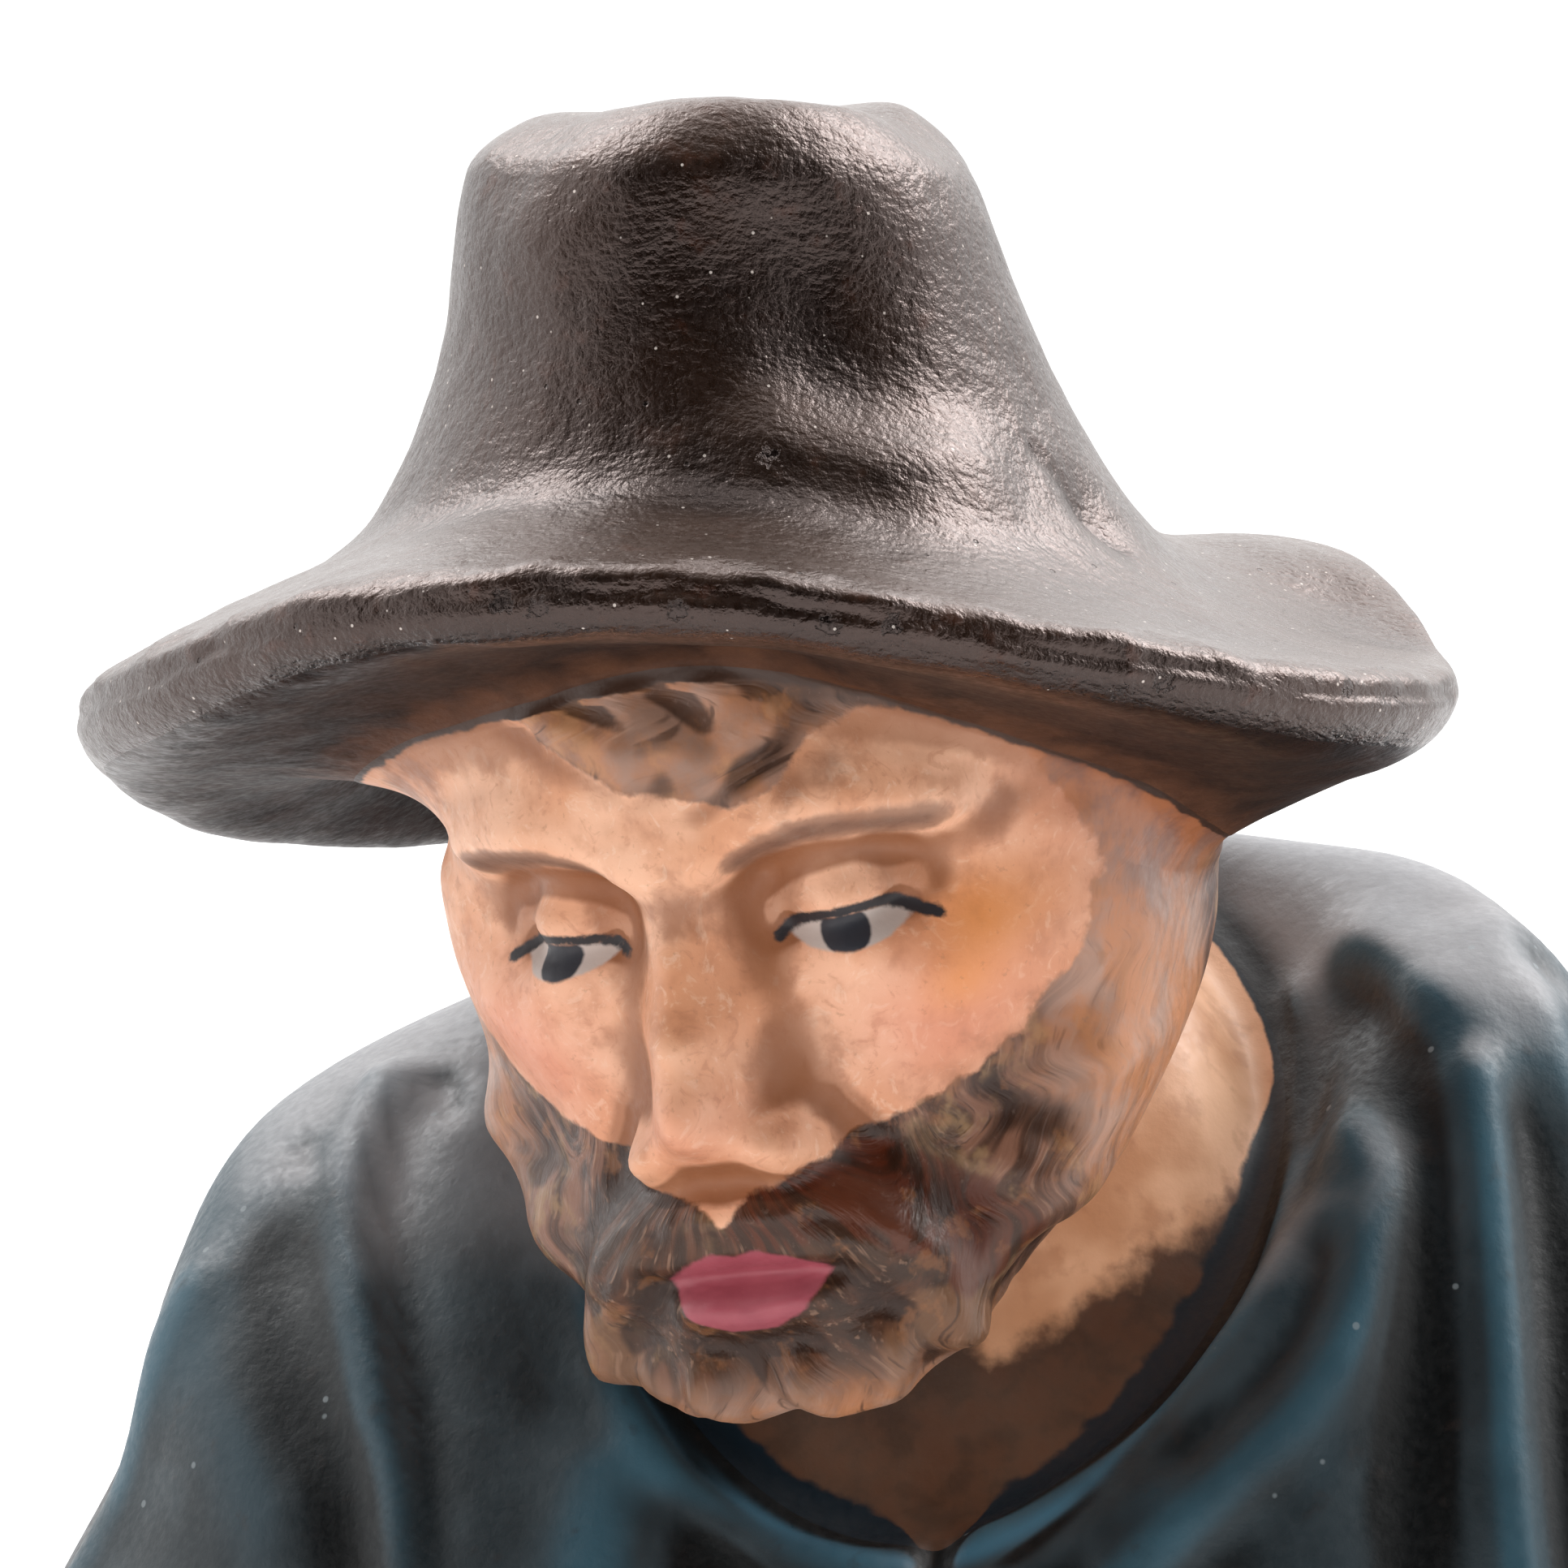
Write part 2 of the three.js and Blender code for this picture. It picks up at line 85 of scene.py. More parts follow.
def fading(values, low, high):
    """1 below low, 0 above high, an S curve between them."""
    return smooth(-values, -high, -low)


def bell(values):
    """1 at 0, falling away smoothly on both sides."""
    return np.exp(-(values ** 2))


def between(a, b, c, d, t):
    """The smooth curve from b to c, with a before them and d after."""
    return b + 0.5 * t * (c - a + t * (2 * a - 5 * b + 4 * c - d + t * (3 * (b - c) + d - a)))


def around(values, angle):
    """A smooth closed curve through evenly spaced values."""
    values = np.asarray(values, float)
    at = (angle / (2 * math.pi)) % 1 * len(values)
    i = np.floor(at).astype(int)
    return between(*(values[(i + k) % len(values)] for k in (-1, 0, 1, 2)), at - i)


def lumps(points, size, seed):
    """Smooth noise in -1..1 over the points, with features of about that size."""
    offset = Vector((seed * 17.3, seed * -9.1, seed * 5.7))
    flat = points.reshape(-1, 3) / size
    values = [noise.noise(Vector(p) + offset) for p in flat]
    return np.array(values).reshape(points.shape[:-1])


# The rings

HEAD_FRAME = frame_of(HEAD_CENTRE, HEAD_TURN, HEAD_BOW, HEAD_LEAN)
HAT_FRAME = frame_of(HAT_CENTRE)
steps = 2 * math.pi * np.arange(COLUMNS) / COLUMNS
ANGLES = steps - FRONT_CROWDING * np.sin(steps)
HAT_ANGLES = ANGLES + math.radians(HEAD_TURN)

# Each part's frame, where its columns stand there, and what its heights count from
FRAMES = {
    "smock": (np.eye(4), ANGLES, 0.0),
    "neck": (np.eye(4), ANGLES, 0.0),
    "head": (HEAD_FRAME, ANGLES, EYE_LINE),
    "hat": (HAT_FRAME, HAT_ANGLES, 0.0),
}


def ring(part, rows, size, height, at=(0, 0), square=2.0, wave=0.0, locks=0.0):
    """A ring, with its rows up to the next, from half sizes and heights towards the
    front, its left, the back and its right. Square is 2 for an ellipse, wave the share
    of the brim's heights, and locks the depth of the waves at the back."""
    matrix, angle, zero = FRAMES[part]
    s, c = np.sin(angle), np.cos(angle)
    lock = 1 + locks * np.cos(BACK_LOCKS * angle) * clamp(-3 * c)
    bulge = lock * (np.abs(s) ** square + np.abs(c) ** square) ** (-1 / square)
    x = at[0] + np.where(s > 0, size[1], size[3]) * s * bulge
    y = at[1] - np.where(c > 0, size[0], size[2]) * c * bulge
    z = around(np.array(height) - zero, angle) + wave * around(BRIM_HEIGHTS, angle)
    return part, rows, apply(matrix, np.stack([x, y, z], axis=1))


def edge_ring(rows, inset, lift):
    """A ring that follows the brim's edge, moved in and up by so much."""
    radius = around(BRIM_RADII, HAT_ANGLES) - inset
    z = around(BRIM_HEIGHTS, HAT_ANGLES) + around(lift, HAT_ANGLES)
    points = np.stack([np.sin(HAT_ANGLES) * radius, -np.cos(HAT_ANGLES) * radius, z], axis=1)
    return "hat", rows, apply(HAT_FRAME, points)


RINGS = [
    # Smock
    ring("smock", 9, [11.5, 23, 12, 23], [0, 0, 0, 0], square=2.7),
    ring("smock", 9, [11.3, 21.5, 12, 21.4], [2.4, 4.8, 5, 4.4], square=2.7),
    ring("smock", 9, [11.1, 20.3, 11.8, 19.4], [4.2, 9.4, 9.6, 8.4], square=2.6),
    ring("smock", 9, [10.9, 18.6, 11.2, 18.4], [5.5, 13.3, 13.5, 12.4], square=2.4),
    ring("smock", 9, [10.7, 15.9, 9.8, 16.6], [6.3, 17.0, 17.2, 15.2], square=2.2),
    ring("smock", 9, [10.5, 13, 8.4, 12.2], [6.8, 20.6, 20.5, 17.0], square=2.1),
    # Collar: foot, crest, inner edge
    ring("smock", 8, [9.3, 9.8, 8, 9.6], [7.0, 19.2, 22.5, 16.9], at=(0, -1)),
    ring("smock", 4, [7.9, 8.5, 8, 8.5], [7.5, 16.4, 22.6, 15.4], at=(0, -1.9)),
    ring("smock", 5, [7.5, 8.0, 7.2, 8.0], [7.9, 16.5, 22.6, 15.6], at=(0, -1.8)),
    ring("neck", 8, [6.6, 7.3, 6.4, 7.3], [8.1, 16.2, 22.1, 15.3], at=(0, -1.7)),
    # Neck
    ring("neck", 7, [5.2, 6.7, 5.4, 6.3], [10.5, 18, 22.1, 17.2], at=(-0.7, -2.0)),
    ring("neck", 7, [4.4, 5.4, 4.8, 4.8], [13.6, 19.2, 22.3, 18.2], at=(-1.2, -2.6)),
    # Under the jaw, beard, mouth, eyes, forehead
    ring("head", 12, [6.8, 6.2, 8.4, 6.4], [1.2, 5, 8.4, 6]),
    ring("head", 10, [9.2, 7.4, 9, 7.4], [0.9, 5.9, 8.6, 6.5], locks=0.005),
    ring("head", 28, [10, 7.9, 9.4, 7.9], [2.6, 7, 8.8, 7.4], square=2.1, locks=0.007),
    ring(
        "head", 34, [9.6, 8.1, 9.6, 8.1], [6.6, 7.6, 8.2, 8.4, 9.1, 9.6, 9.6, 8.1],
        square=2.1, locks=0.007,
    ),
    ring(
        "head", 22, [9.2, 8.2, 9.6, 8.3], [12, 11.4, 9, 8.6, 9.4, 10.6, 11.9, 12],
        square=2.1, locks=0.007,
    ),
    ring("head", 18, [9.8, 8.4, 9.6, 8.4], [15.4, 13.8, 9.5, 8.9, 9.7, 11.2, 13, 14.6], locks=0.005),
    # Underside of the brim
    ring("hat", 10, [8.6, 10.6, 12, 9.4], [2, -0.2, -2.8, -1.8, -0.8, -1.2, -1.9, 0.2]),
    ring("hat", 10, [11.8, 12.8, 13.4, 12.1], [0.9, -2.1, -1.2, -1.4], wave=0.5),
    # Lip
    edge_ring(7, 0.8, [-0.75, -1.3, -1.1, -1.1]),
    edge_ring(8, 0.0, [-0.2, -0.3, -0.2, -0.2]),
    edge_ring(12, 0.15, [0.7, 0.4, 0.8, 0.8]),
    # Top of the brim
    ring("hat", 11, [12.4, 12.4, 12.4, 12.4], [2.1, 1.4, 1.8, 2.6], wave=0.75),
    ring("hat", 9, [10, 9.9, 10, 9.7], [3.9, 2.6, 2.0, 3.4], at=(-0.2, 0), wave=0.4),
    # Crown
    ring("hat", 11, [8.8, 8.5, 8.8, 8.4], [5.6, 4.3, 4.3, 4.4], at=(-0.25, 0), wave=0.1),
    ring("hat", 11, [7.9, 7.1, 7.9, 7.0], [7.7, 7.4, 7.4, 7.4], at=(-0.5, -0.1)),
    ring("hat", 11, [7.1, 6.3, 7.1, 6.3], [9.8, 9.7, 9.7, 9.7], at=(-0.7, -0.3)),
    ring("hat", 9, [6.6, 5.9, 6.8, 5.9], [12.1, 11.8, 11.7, 11.8], at=(-1.0, -0.5)),
    ring("hat", 9, [6.0, 5.2, 6.1, 5.2], [13.35, 13.0, 12.6, 12.8], at=(-1.1, -0.6)),
    ring("hat", 10, [4.6, 3.9, 4.6, 3.9], [14.2, 13.8, 13.2, 13.5], at=(-0.9, -0.6)),
    ring("hat", 4, [2.6, 2, 2.6, 2], [13.9, 13.6, 13.3, 13.5], at=(-0.9, -0.6)),
    ring("hat", 0, [1.1, 0.9, 1.1, 0.9], [13.8, 13.65, 13.5, 13.6], at=(-0.9, -0.6)),
]


# Carved relief

def curved(path):
    """A smooth curve through the points of a path."""
    path = np.array(path, float)
    if len(path) < 3:
        return path
    before = np.concatenate([2 * path[:1] - path[1:2], path[:-2]])
    after = np.concatenate([path[2:], 2 * path[-1:] - path[-2:-1]])
    points = []
    for a, b, c, d in zip(before, path[:-1], path[1:], after):
        points += [between(a, b, c, d, t) for t in np.arange(PATH_STEPS) / PATH_STEPS]
    return np.array(points + [path[-1]])


def stroke(width, height, *path):
    """A rounded ridge, or a groove with a negative height, along a path."""
    return width, height, curved(path), False


def fold(width, height, *path):
    """A stroke that rises out of the surface at one end and sinks back at the other."""
    return width, height, curved(path), True


def both_sides(strokes):
    """The strokes, and the same ones on the other side."""
    return strokes + [
        (width, height, path * [-1, 1, 1][:path.shape[1]], fades)
        for width, height, path, fades in strokes
    ]


SMOCK_RELIEF = [
    # Its left breast: a groove and a fold beside the collar, a valley, then the armhole fold
    fold(0.6, -0.3, [9.3, -5.7, 15.4], [8.8, -7.6, 12.9], [7.3, -8.6, 11.1], [5.3, -9.6, 9.2]),
    fold(
        0.8, 0.5,
        [8.6, -3.2, 17.6], [10.2, -5.5, 16.4], [10.3, -6.8, 14.9], [10, -7.9, 13],
        [8.7, -9, 11], [6.7, -9.8, 9.2], [3.6, -10.8, 6],
    ),
    fold(
        1.1, -0.6,
        [9, 1.6, 20.2], [10.7, -3.3, 17.8], [11.4, -6, 14.8], [11.4, -7.3, 11.5],
        [11.4, -9, 8], [11.4, -11, -5],
    ),
    fold(
        0.65, 0.6,
        [12.2, -2.6, 19], [13, -5.4, 15.4], [13.4, -7, 12.3], [13.9, -9.1, 8.4],
        [14.6, -10.6, -5],
    ),
    fold(0.8, -0.5, [13.2, -2.4, 18.4], [14.2, -5.1, 12.9], [14.9, -8, 8], [16, -10.2, -5]),
    fold(0.7, 0.4, [13.2, -0.2, 20.2], [14.2, -1.8, 17.9], [15.2, -3.2, 15.2]),
    # Its right breast: the armhole fold between two grooves, a crease and a dimple
    fold(
        0.65, 0.6,
        [-13.2, 1.6, 17.6], [-13.9, -3, 15.5], [-13.5, -5.3, 13.5], [-12.8, -7.4, 11.3],
        [-12, -9.9, 7.5], [-11.2, -11, -5],
    ),
    fold(
        1.3, -0.6,
        [-15.6, -1.6, 15], [-14.9, -4.4, 12.2], [-14, -6.4, 10], [-13, -8.7, 7.3],
        [-12.6, -10.6, -5],
    ),
    fold(
        0.9, -0.35,
        [-12.9, 0.5, 17.2], [-12.9, -4, 14.4], [-12.3, -6.6, 12], [-11.5, -8.9, 9],
        [-10.6, -11, -5],
    ),
    fold(0.35, -0.25, [-15.3, -0.4, 15.9], [-15.2, -1.4, 15.3], [-15, -2.4, 14.8]),
    stroke(0.45, -0.3, [-12, -0.2, 16.9], [-11.6, -1, 16.2]),
    # The edge where the cloth drops from its left shoulder, with the crease beyond it
    fold(0.9, 0.5, [8.7, 2.8, 21.2], [10, 0.2, 20.4], [11, -1.4, 19.8], [12.3, -3.2, 18.9]),
    fold(0.7, -0.35, [12.6, 1.6, 20.4], [13.6, 0.6, 19.6], [14.6, -0.1, 18.8]),
    stroke(1.3, -0.4, [11.9, 4.5, 20.5], [12.1, 2.4, 20.3]),
    # The rolled edge of the collar, from behind its right shoulder round to its left,
    # with the small split at the throat
    fold(
        0.6, 0.35,
        [-8.7, 2.5, 18.2], [-8.3, -3.6, 14.4], [-7.7, -6.4, 12.3], [-7, -7.6, 10.9],
        [-5.9, -8.8, 9.6], [-4.7, -9.2, 8.7], [-3.1, -9.6, 7.8], [-1.2, -9.9, 7.5],
        [0.4, -9.9, 7.4],
    ),
    fold(
        0.6, 0.35,
        [0.7, -9.8, 7.5], [2.8, -8.9, 8.8], [4.8, -8.3, 10], [6.5, -7.6, 11.8],
        [7.7, -6.6, 13.4], [8.3, -3.9, 15.1], [8.3, -1.1, 16.9], [8.2, 2.5, 19.6],
    ),
    stroke(0.45, -0.35, [0.55, -9.4, 7.9], [0.55, -10.3, 7.1]),
    # Below the collar
    stroke(1.5, 0.4, [0.8, -10.4, 6], [1.4, -11.5, -5]),
    stroke(1.4, -0.4, [-4.2, -10.2, 7], [-5, -11.5, -5]),
    stroke(1.4, 0.4, [-7.2, -9.6, 9.5], [-7.6, -11.4, -5]),
    # The back
    stroke(1.4, -0.5, [4.5, 8.5, 18], [5.2, 11.4, 10], [6, 12, -5]),
    stroke(1.6, 0.4, [-1, 9, 18], [-0.6, 11.6, 10], [0.6, 12, -5]),
    stroke(1.4, -0.5, [-5, 8.6, 17.5], [-5.4, 11.4, 10], [-5, 12, -5]),
] + both_sides([
    stroke(1.1, 0.5, [18, -3.2, 12.5], [20.4, -4, 7], [22.4, -4, -5]),
    stroke(1.0, -0.5, [19.2, 1, 12], [20.8, 1.5, 7], [23, 1.5, -5]),
    stroke(1.1, 0.5, [18, 6.5, 13], [19.3, 7.5, 8], [20.8, 8.2, -5]),
    stroke(1.0, -0.6, [13.5, 8.5, 14.5], [14.5, 10.3, 9], [15.2, 11.1, -5]),
    stroke(1.2, 0.5, [9.5, 9.3, 15.5], [10.2, 11.3, 9], [11, 11.9, -5]),
])

# The face, in the head's frame: across, and height above the chin
FACE_RELIEF = [
    # Nose: bridge, back, ball
    stroke(1.05, 0.5, [0, 13.8], [0, 12]),
    stroke(1.0, 1.1, [0, 12.2], [0, 9.2]),
    stroke(1.15, 1.5, [0, 10.2], [0, 8.4]),
    stroke(1.05, 1.1, [0, 8.1]),
    # Mouth: mound, lips, their parting, the hollow below, and the chin under the beard
    stroke(2.4, 0.6, [-0.8, 4.4], [0.8, 4.4]),
    stroke(0.4, 0.35, [-1.8, 4.75], [-0.6, 5.1], [0.6, 5.1], [1.8, 4.75]),
    stroke(0.55, 0.55, [-1.1, 3.95], [0, 3.8], [1.1, 3.95]),
    stroke(0.3, -0.4, [-2, 4.5], [2, 4.5]),
    stroke(0.6, -0.45, [-0.8, 2.9], [0.8, 2.9]),
    stroke(1.7, 0.7, [-1.6, 1.6], [1.6, 1.6]),
] + both_sides([
    stroke(0.75, 1.5, [1.45, 7.5]),
    # Eye socket, eyeball, the parting of the lids, brow
    stroke(1.45, -1.5, [2.4, 12.8], [4.3, 12.7]),
    stroke(1.35, 1.5, [3.45, 12.3]),
    stroke(0.4, 0.25, [2, 12.4], [3.45, 12.8], [4.9, 12.4]),
    stroke(0.35, -0.3, [2.3, 12], [3.45, 11.95], [4.6, 12]),
    stroke(0.8, 0.55, [1.3, 14.1], [3.4, 14.8], [5.6, 14.1]),
    # Cheek
    stroke(1.6, 0.55, [4.6, 10.4], [5.8, 10.6]),
    stroke(1.5, -0.2, [5.4, 7.4]),
    stroke(0.5, -0.3, [2.3, 7.9], [3.2, 6.9]),
])

# Beard and hair, in the same chart
BEARD_RELIEF = both_sides([
    # Moustache lobe, with a groove along it
    stroke(0.75, 1.1, [0.6, 6], [1.9, 5.7], [3.1, 4.8], [3.8, 3.7], [3.8, 2.8]),
    fold(0.3, -0.3, [1.0, 5.9], [2.3, 5.5], [3.3, 4.5], [3.9, 3.4]),
    # Sideburn and the locks along the jaw
    stroke(0.8, 0.45, [7.5, 12.5], [7.8, 9.5], [7.1, 7]),
    fold(0.6, 0.45, [6.4, 8.6], [7.0, 6.6], [6.2, 4.8], [5.6, 3.0]),
    fold(0.55, 0.4, [4.9, 6.6], [5.7, 5.2], [5.0, 3.6], [4.6, 2.0]),
    # The rounded lower corner of the beard
    stroke(1.5, -0.7, [5.0, 2.3], [4.4, 1.2]),
]) + [
    # Chin beard: wavy locks either side of a parting, one of them curled round
    fold(0.5, 0.5, [-3.6, 3.9], [-3.9, 2.9], [-3.3, 1.9], [-3.4, 0.8]),
    fold(0.4, 0.45, [-2.4, 3.2], [-2.7, 2.3], [-2.2, 1.4], [-2.3, 0.3]),
    fold(0.4, 0.45, [-1.1, 3.0], [-1.5, 2.1], [-1.1, 1.2], [-1.3, 0.1]),
    fold(0.35, -0.45, [-0.2, 3.0], [-0.3, 1.9], [-0.1, 1.0], [-0.4, -0.1]),
    fold(0.4, 0.45, [0.6, 1.0], [0.4, 0.5], [0.5, -0.2]),
    fold(0.4, 0.5, [2.3, 3.4], [2.6, 2.4], [2.0, 1.4], [1.1, 1.3], [0.7, 2.1], [1.2, 2.8]),
    fold(0.45, 0.45, [3.4, 3.6], [3.9, 2.5], [3.4, 1.4], [2.6, 0.6], [2.2, 0.0]),
    # Tuft of hair on the forehead
    stroke(0.6, 0.45, [-3.4, 18.6], [-2.0, 17.4], [-0.2, 16.6]),
    stroke(0.6, 0.45, [-1.4, 18.8], [0.1, 17.5], [1.3, 16.3]),
    stroke(0.6, 0.4, [1.0, 18.8], [1.7, 17.7], [2.2, 16.9]),
]

# Dents and swells of the hat, in the body's frame
HAT_RELIEF = [
    # The worn corners of the crown and the swell between them
    stroke(1.7, -0.5, [-7.9, -12.6, 40.0]),
    stroke(1.5, -0.4, [-0.4, -9.5, 40.8]),
    stroke(1.8, 0.3, [-3.8, -12.6, 41.2]),
    # The dent down the front of the crown, and the swell under it
    stroke(1.8, -0.3, [-3.0, -14.4, 38.6]),
    stroke(2.3, -0.4, [-2.2, -14.6, 37.2]),
    stroke(1.9, -0.35, [-1.2, -15.0, 35.8]),
    stroke(1.2, 0.35, [-2.4, -15.9, 33.9], [-0.4, -15.3, 33.5], [1.6, -14.3, 33.1]),
    stroke(1.8, 0.3, [0.4, -15.4, 32.3]),
    # Its right corner, a knock at its left foot, the dent at its back, and the brim's dish
    stroke(1.3, 0.25, [-7.4, -12.8, 38.6]),
    stroke(1.0, -0.3, [4.4, -11, 32]),
    stroke(2.0, -0.4, [-4, -0.8, 37]),
    stroke(1.6, -0.35, [9.4, -5.0, 29.3], [10.6, -6.6, 28.8]),
    # A crack in the paint beside the crown
    stroke(0.25, -0.12, [3.0, -11.8, 33.3], [3.7, -11.2, 32.3], [4.8, -10.9, 31.1]),
]

DEPTH_SHARE = 0.25  # how much the distance along the normal counts
SMOCK_DEPTH = 0.75  # paint fills the folds of the smock by a quarter
FADE = 2.5  # widths over which a fold's end dies away


def nearness(points, path, normals=None):
    """Distance from each point to a path, counted mostly across the surface,
    and the distance along the path to its nearer end."""
    nearest = np.full(points.shape[:-1], np.inf)
    place = np.zeros(points.shape[:-1])
    walked = 0.0
    ends = path[1:] if len(path) > 1 else path
    for start, end in zip(path, ends):
        along = end - start
        length = np.linalg.norm(along)
        off = points - start
        share = clamp(off @ along / (length ** 2 or 1.0))
        off = off - share[..., None] * along
        if normals is not None:
            depth = np.sum(off * normals, axis=-1, keepdims=True)
            off = off + (DEPTH_SHARE - 1) * depth * normals
        distance = np.sqrt(np.sum(off * off, axis=-1))
        place = np.where(distance < nearest, walked + share * length, place)
        nearest = np.minimum(nearest, distance)
        walked += length
    return nearest, np.minimum(place, walked - place)


def relief_at(strokes, points, normals=None):
    """How far the strokes raise the surface at each point."""
    total = np.zeros(points.shape[:-1])
    for width, height, path, fades in strokes:
        reach = 3 * width + 1.5
        low, high = path.min(axis=0) - reach, path.max(axis=0) + reach
        near = np.all((points > low) & (points < high), axis=-1)
        if not near.any():
            continue
        distance, to_end = nearness(points[near], path, None if normals is None else normals[near])
        rise = height * bell(distance / width)
        if fades:
            rise *= smooth(to_end, 0, FADE * width)
        total[near] += rise
    return total


# The skin

def through_rings(rings):
    """A smooth curve up every column, with each ring's rows to the next."""
    points = np.array([r[2] for r in rings])
    rows = [r[1] for r in rings]
    chord = np.linalg.norm(np.diff(points, axis=0), axis=2)[..., None]
    before = np.concatenate([points[:1], points[:-1]])
    after = np.concatenate([points[1:], points[-1:]])
    length = np.zeros(points.shape[:2] + (1,))
    length[1:] += chord
    length[:-1] += chord
    tangents = (after - before) / length
    skin, levels, parts = [], [], []
    for i, count in enumerate(rows[:-1]):
        for k in range(count):
            t = k / count
            a, b = t * t * (3 - 2 * t), t * (1 - t)
            row = points[i] + (points[i + 1] - points[i]) * a
            row = row + tangents[i] * chord[i] * b * (1 - t) - tangents[i + 1] * chord[i] * b * t
            skin.append(row)
            levels.append(i + t)
            parts.append(rings[i][0])
    skin.append(points[-1])
    levels.append(len(rings) - 1.0)
    parts.append(rings[-1][0])
    return np.array(skin), np.array(levels), np.array(parts)


def normals_of(skin):
    """Unit normals of the grid of points, facing out."""
    across = np.roll(skin, -1, axis=1) - np.roll(skin, 1, axis=1)
    up = np.concatenate([skin[1:], skin[-1:]]) - np.concatenate([skin[:1], skin[:-1]])
    normals = np.cross(across, up)
    return normals / np.maximum(np.linalg.norm(normals, axis=2, keepdims=True), 1e-9)


BLEND = 0.6  # levels over which the evened part gives way to the rest

# Levels count the rings from the underside. Evened out between two levels, in so many
# passes: the top of the brim and the crown, the collar, and the lip
EVENED = [(23.0, 28.5, 60), (5.6, 10.2, 12), (19.2, 22.2, 20)]


def soften(skin, low, high, passes):
    """Evens out the skin along its columns between two levels."""
    share = 0.5 * smooth(LEVELS, low, low + BLEND) * fading(LEVELS, high - BLEND, high)
    for _ in range(passes):
        middle = skin.copy()
        middle[1:-1] = (skin[:-2] + skin[2:]) / 2
        skin = skin + share[:, None, None] * (middle - skin)
    return skin


skin, LEVELS, PARTS = through_rings(RINGS)
for low, high, passes in EVENED:
    skin = soften(skin, low, high, passes)
normals = normals_of(skin)
IS_SMOCK, IS_HEAD, IS_HAT = (PARTS == name for name in ("smock", "head", "hat"))

# The face's chart: across, and height above the chin. Behind is the distance back from
# the head's middle, and the front fades out towards the ears and under the chin
local = apply(np.linalg.inv(HEAD_FRAME), skin)
ACROSS, ABOVE, BEHIND = local[..., 0], local[..., 2] + EYE_LINE, local[..., 1]
CHART = np.stack([ACROSS, ABOVE], axis=2)
MIRRORED_CHART = np.stack([np.abs(ACROSS), ABOVE], axis=2)
FRONT = clamp(-BEHIND / 3) * clamp(ABOVE / 1.5 - BEHIND / 2.2 - 3.9)

# The relief, which dies away at the underside and at the neck
HEM, CHIN_FADE = 0.8, (0.1, 2.4)
height = np.zeros(skin.shape[:2])
height[IS_SMOCK] = relief_at(SMOCK_RELIEF, skin[IS_SMOCK], normals[IS_SMOCK])
height[IS_SMOCK] *= SMOCK_DEPTH * clamp(skin[IS_SMOCK][..., 2] / HEM)
folds = height.copy()
height[IS_HEAD] = FRONT[IS_HEAD] * relief_at(FACE_RELIEF + BEARD_RELIEF, CHART[IS_HEAD])
height[IS_HEAD] *= smooth(ABOVE[IS_HEAD], *CHIN_FADE)
height[IS_HAT] = relief_at(HAT_RELIEF, skin[IS_HAT], normals[IS_HAT])

# The rough bead along the lip of the brim, and the shallow groove under it, at the front
LIP_LEVEL, BEAD_WIDTH, GROOVE_WIDTH, GROOVE_BELOW = 22.15, 0.3, 0.2, 0.55
wander = 0.35 * lumps(skin, 3.1, 8) + 0.15 * lumps(skin, 1.1, 9)
lip = LEVELS[:, None] - LIP_LEVEL + wander
front_of_brim = fading(skin[..., 1], -14.0, -6.0)
bead = 0.14 + 0.1 * lumps(skin, 1.3, 5) + 0.05 * lumps(skin, 0.5, 10)
groove = 0.08 + 0.12 * lumps(skin, 2.2, 11)
height += front_of_brim * bead * bell(lip / BEAD_WIDTH)
height -= front_of_brim * groove * bell((lip + GROOVE_BELOW) / GROOVE_WIDTH)

# The uneven casting of the hat
height[IS_HAT] += 0.07 * lumps(skin[IS_HAT], 2.4, 6) + 0.03 * lumps(skin[IS_HAT], 0.9, 7)
skin = skin + height[..., None] * normals


# The mesh

MATERIAL_LEVELS = (8.0, 17.99, 20.2)  # where skin, brim underside and hat begin


def make_bust(skin):
    """The grid of points as one closed mesh, with a flat face below and one on top."""
    rows, columns = skin.shape[:2]
    index = np.arange(rows * columns).reshape(rows, columns)
    right = np.roll(index, -1, axis=1)
    quads = np.stack([index[:-1], right[:-1], right[1:], index[1:]], axis=2).reshape(-1, 4)
    faces = [tuple(q) for q in quads.tolist()]
    faces.append(tuple(index[0][::-1].tolist()))
    faces.append(tuple(index[-1].tolist()))
    mesh = bpy.data.meshes.new("shepherd_bust_painted")
    mesh.from_pydata((skin.reshape(-1, 3) * MM).tolist(), [], faces)
    mesh.update()
    mesh.polygons.foreach_set("use_smooth", [True] * len(faces))
    mesh.polygons[len(faces) - 2].use_smooth = False
    bands = np.searchsorted(MATERIAL_LEVELS, LEVELS[:-1], side="right")
    which = np.append(np.repeat(bands, columns), (len(MATERIAL_LEVELS) + 1, bands[-1]))
    mesh.polygons.foreach_set("material_index", which.astype(np.int32))
    piece = bpy.data.objects.new("painted_bust", mesh)
    bpy.context.scene.collection.objects.link(piece)
    return piece


bust = make_bust(skin)
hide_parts("shepherd_bust")
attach(bust, "root")


# Painted regions, kept on the points as soft distances (above 0 is inside)

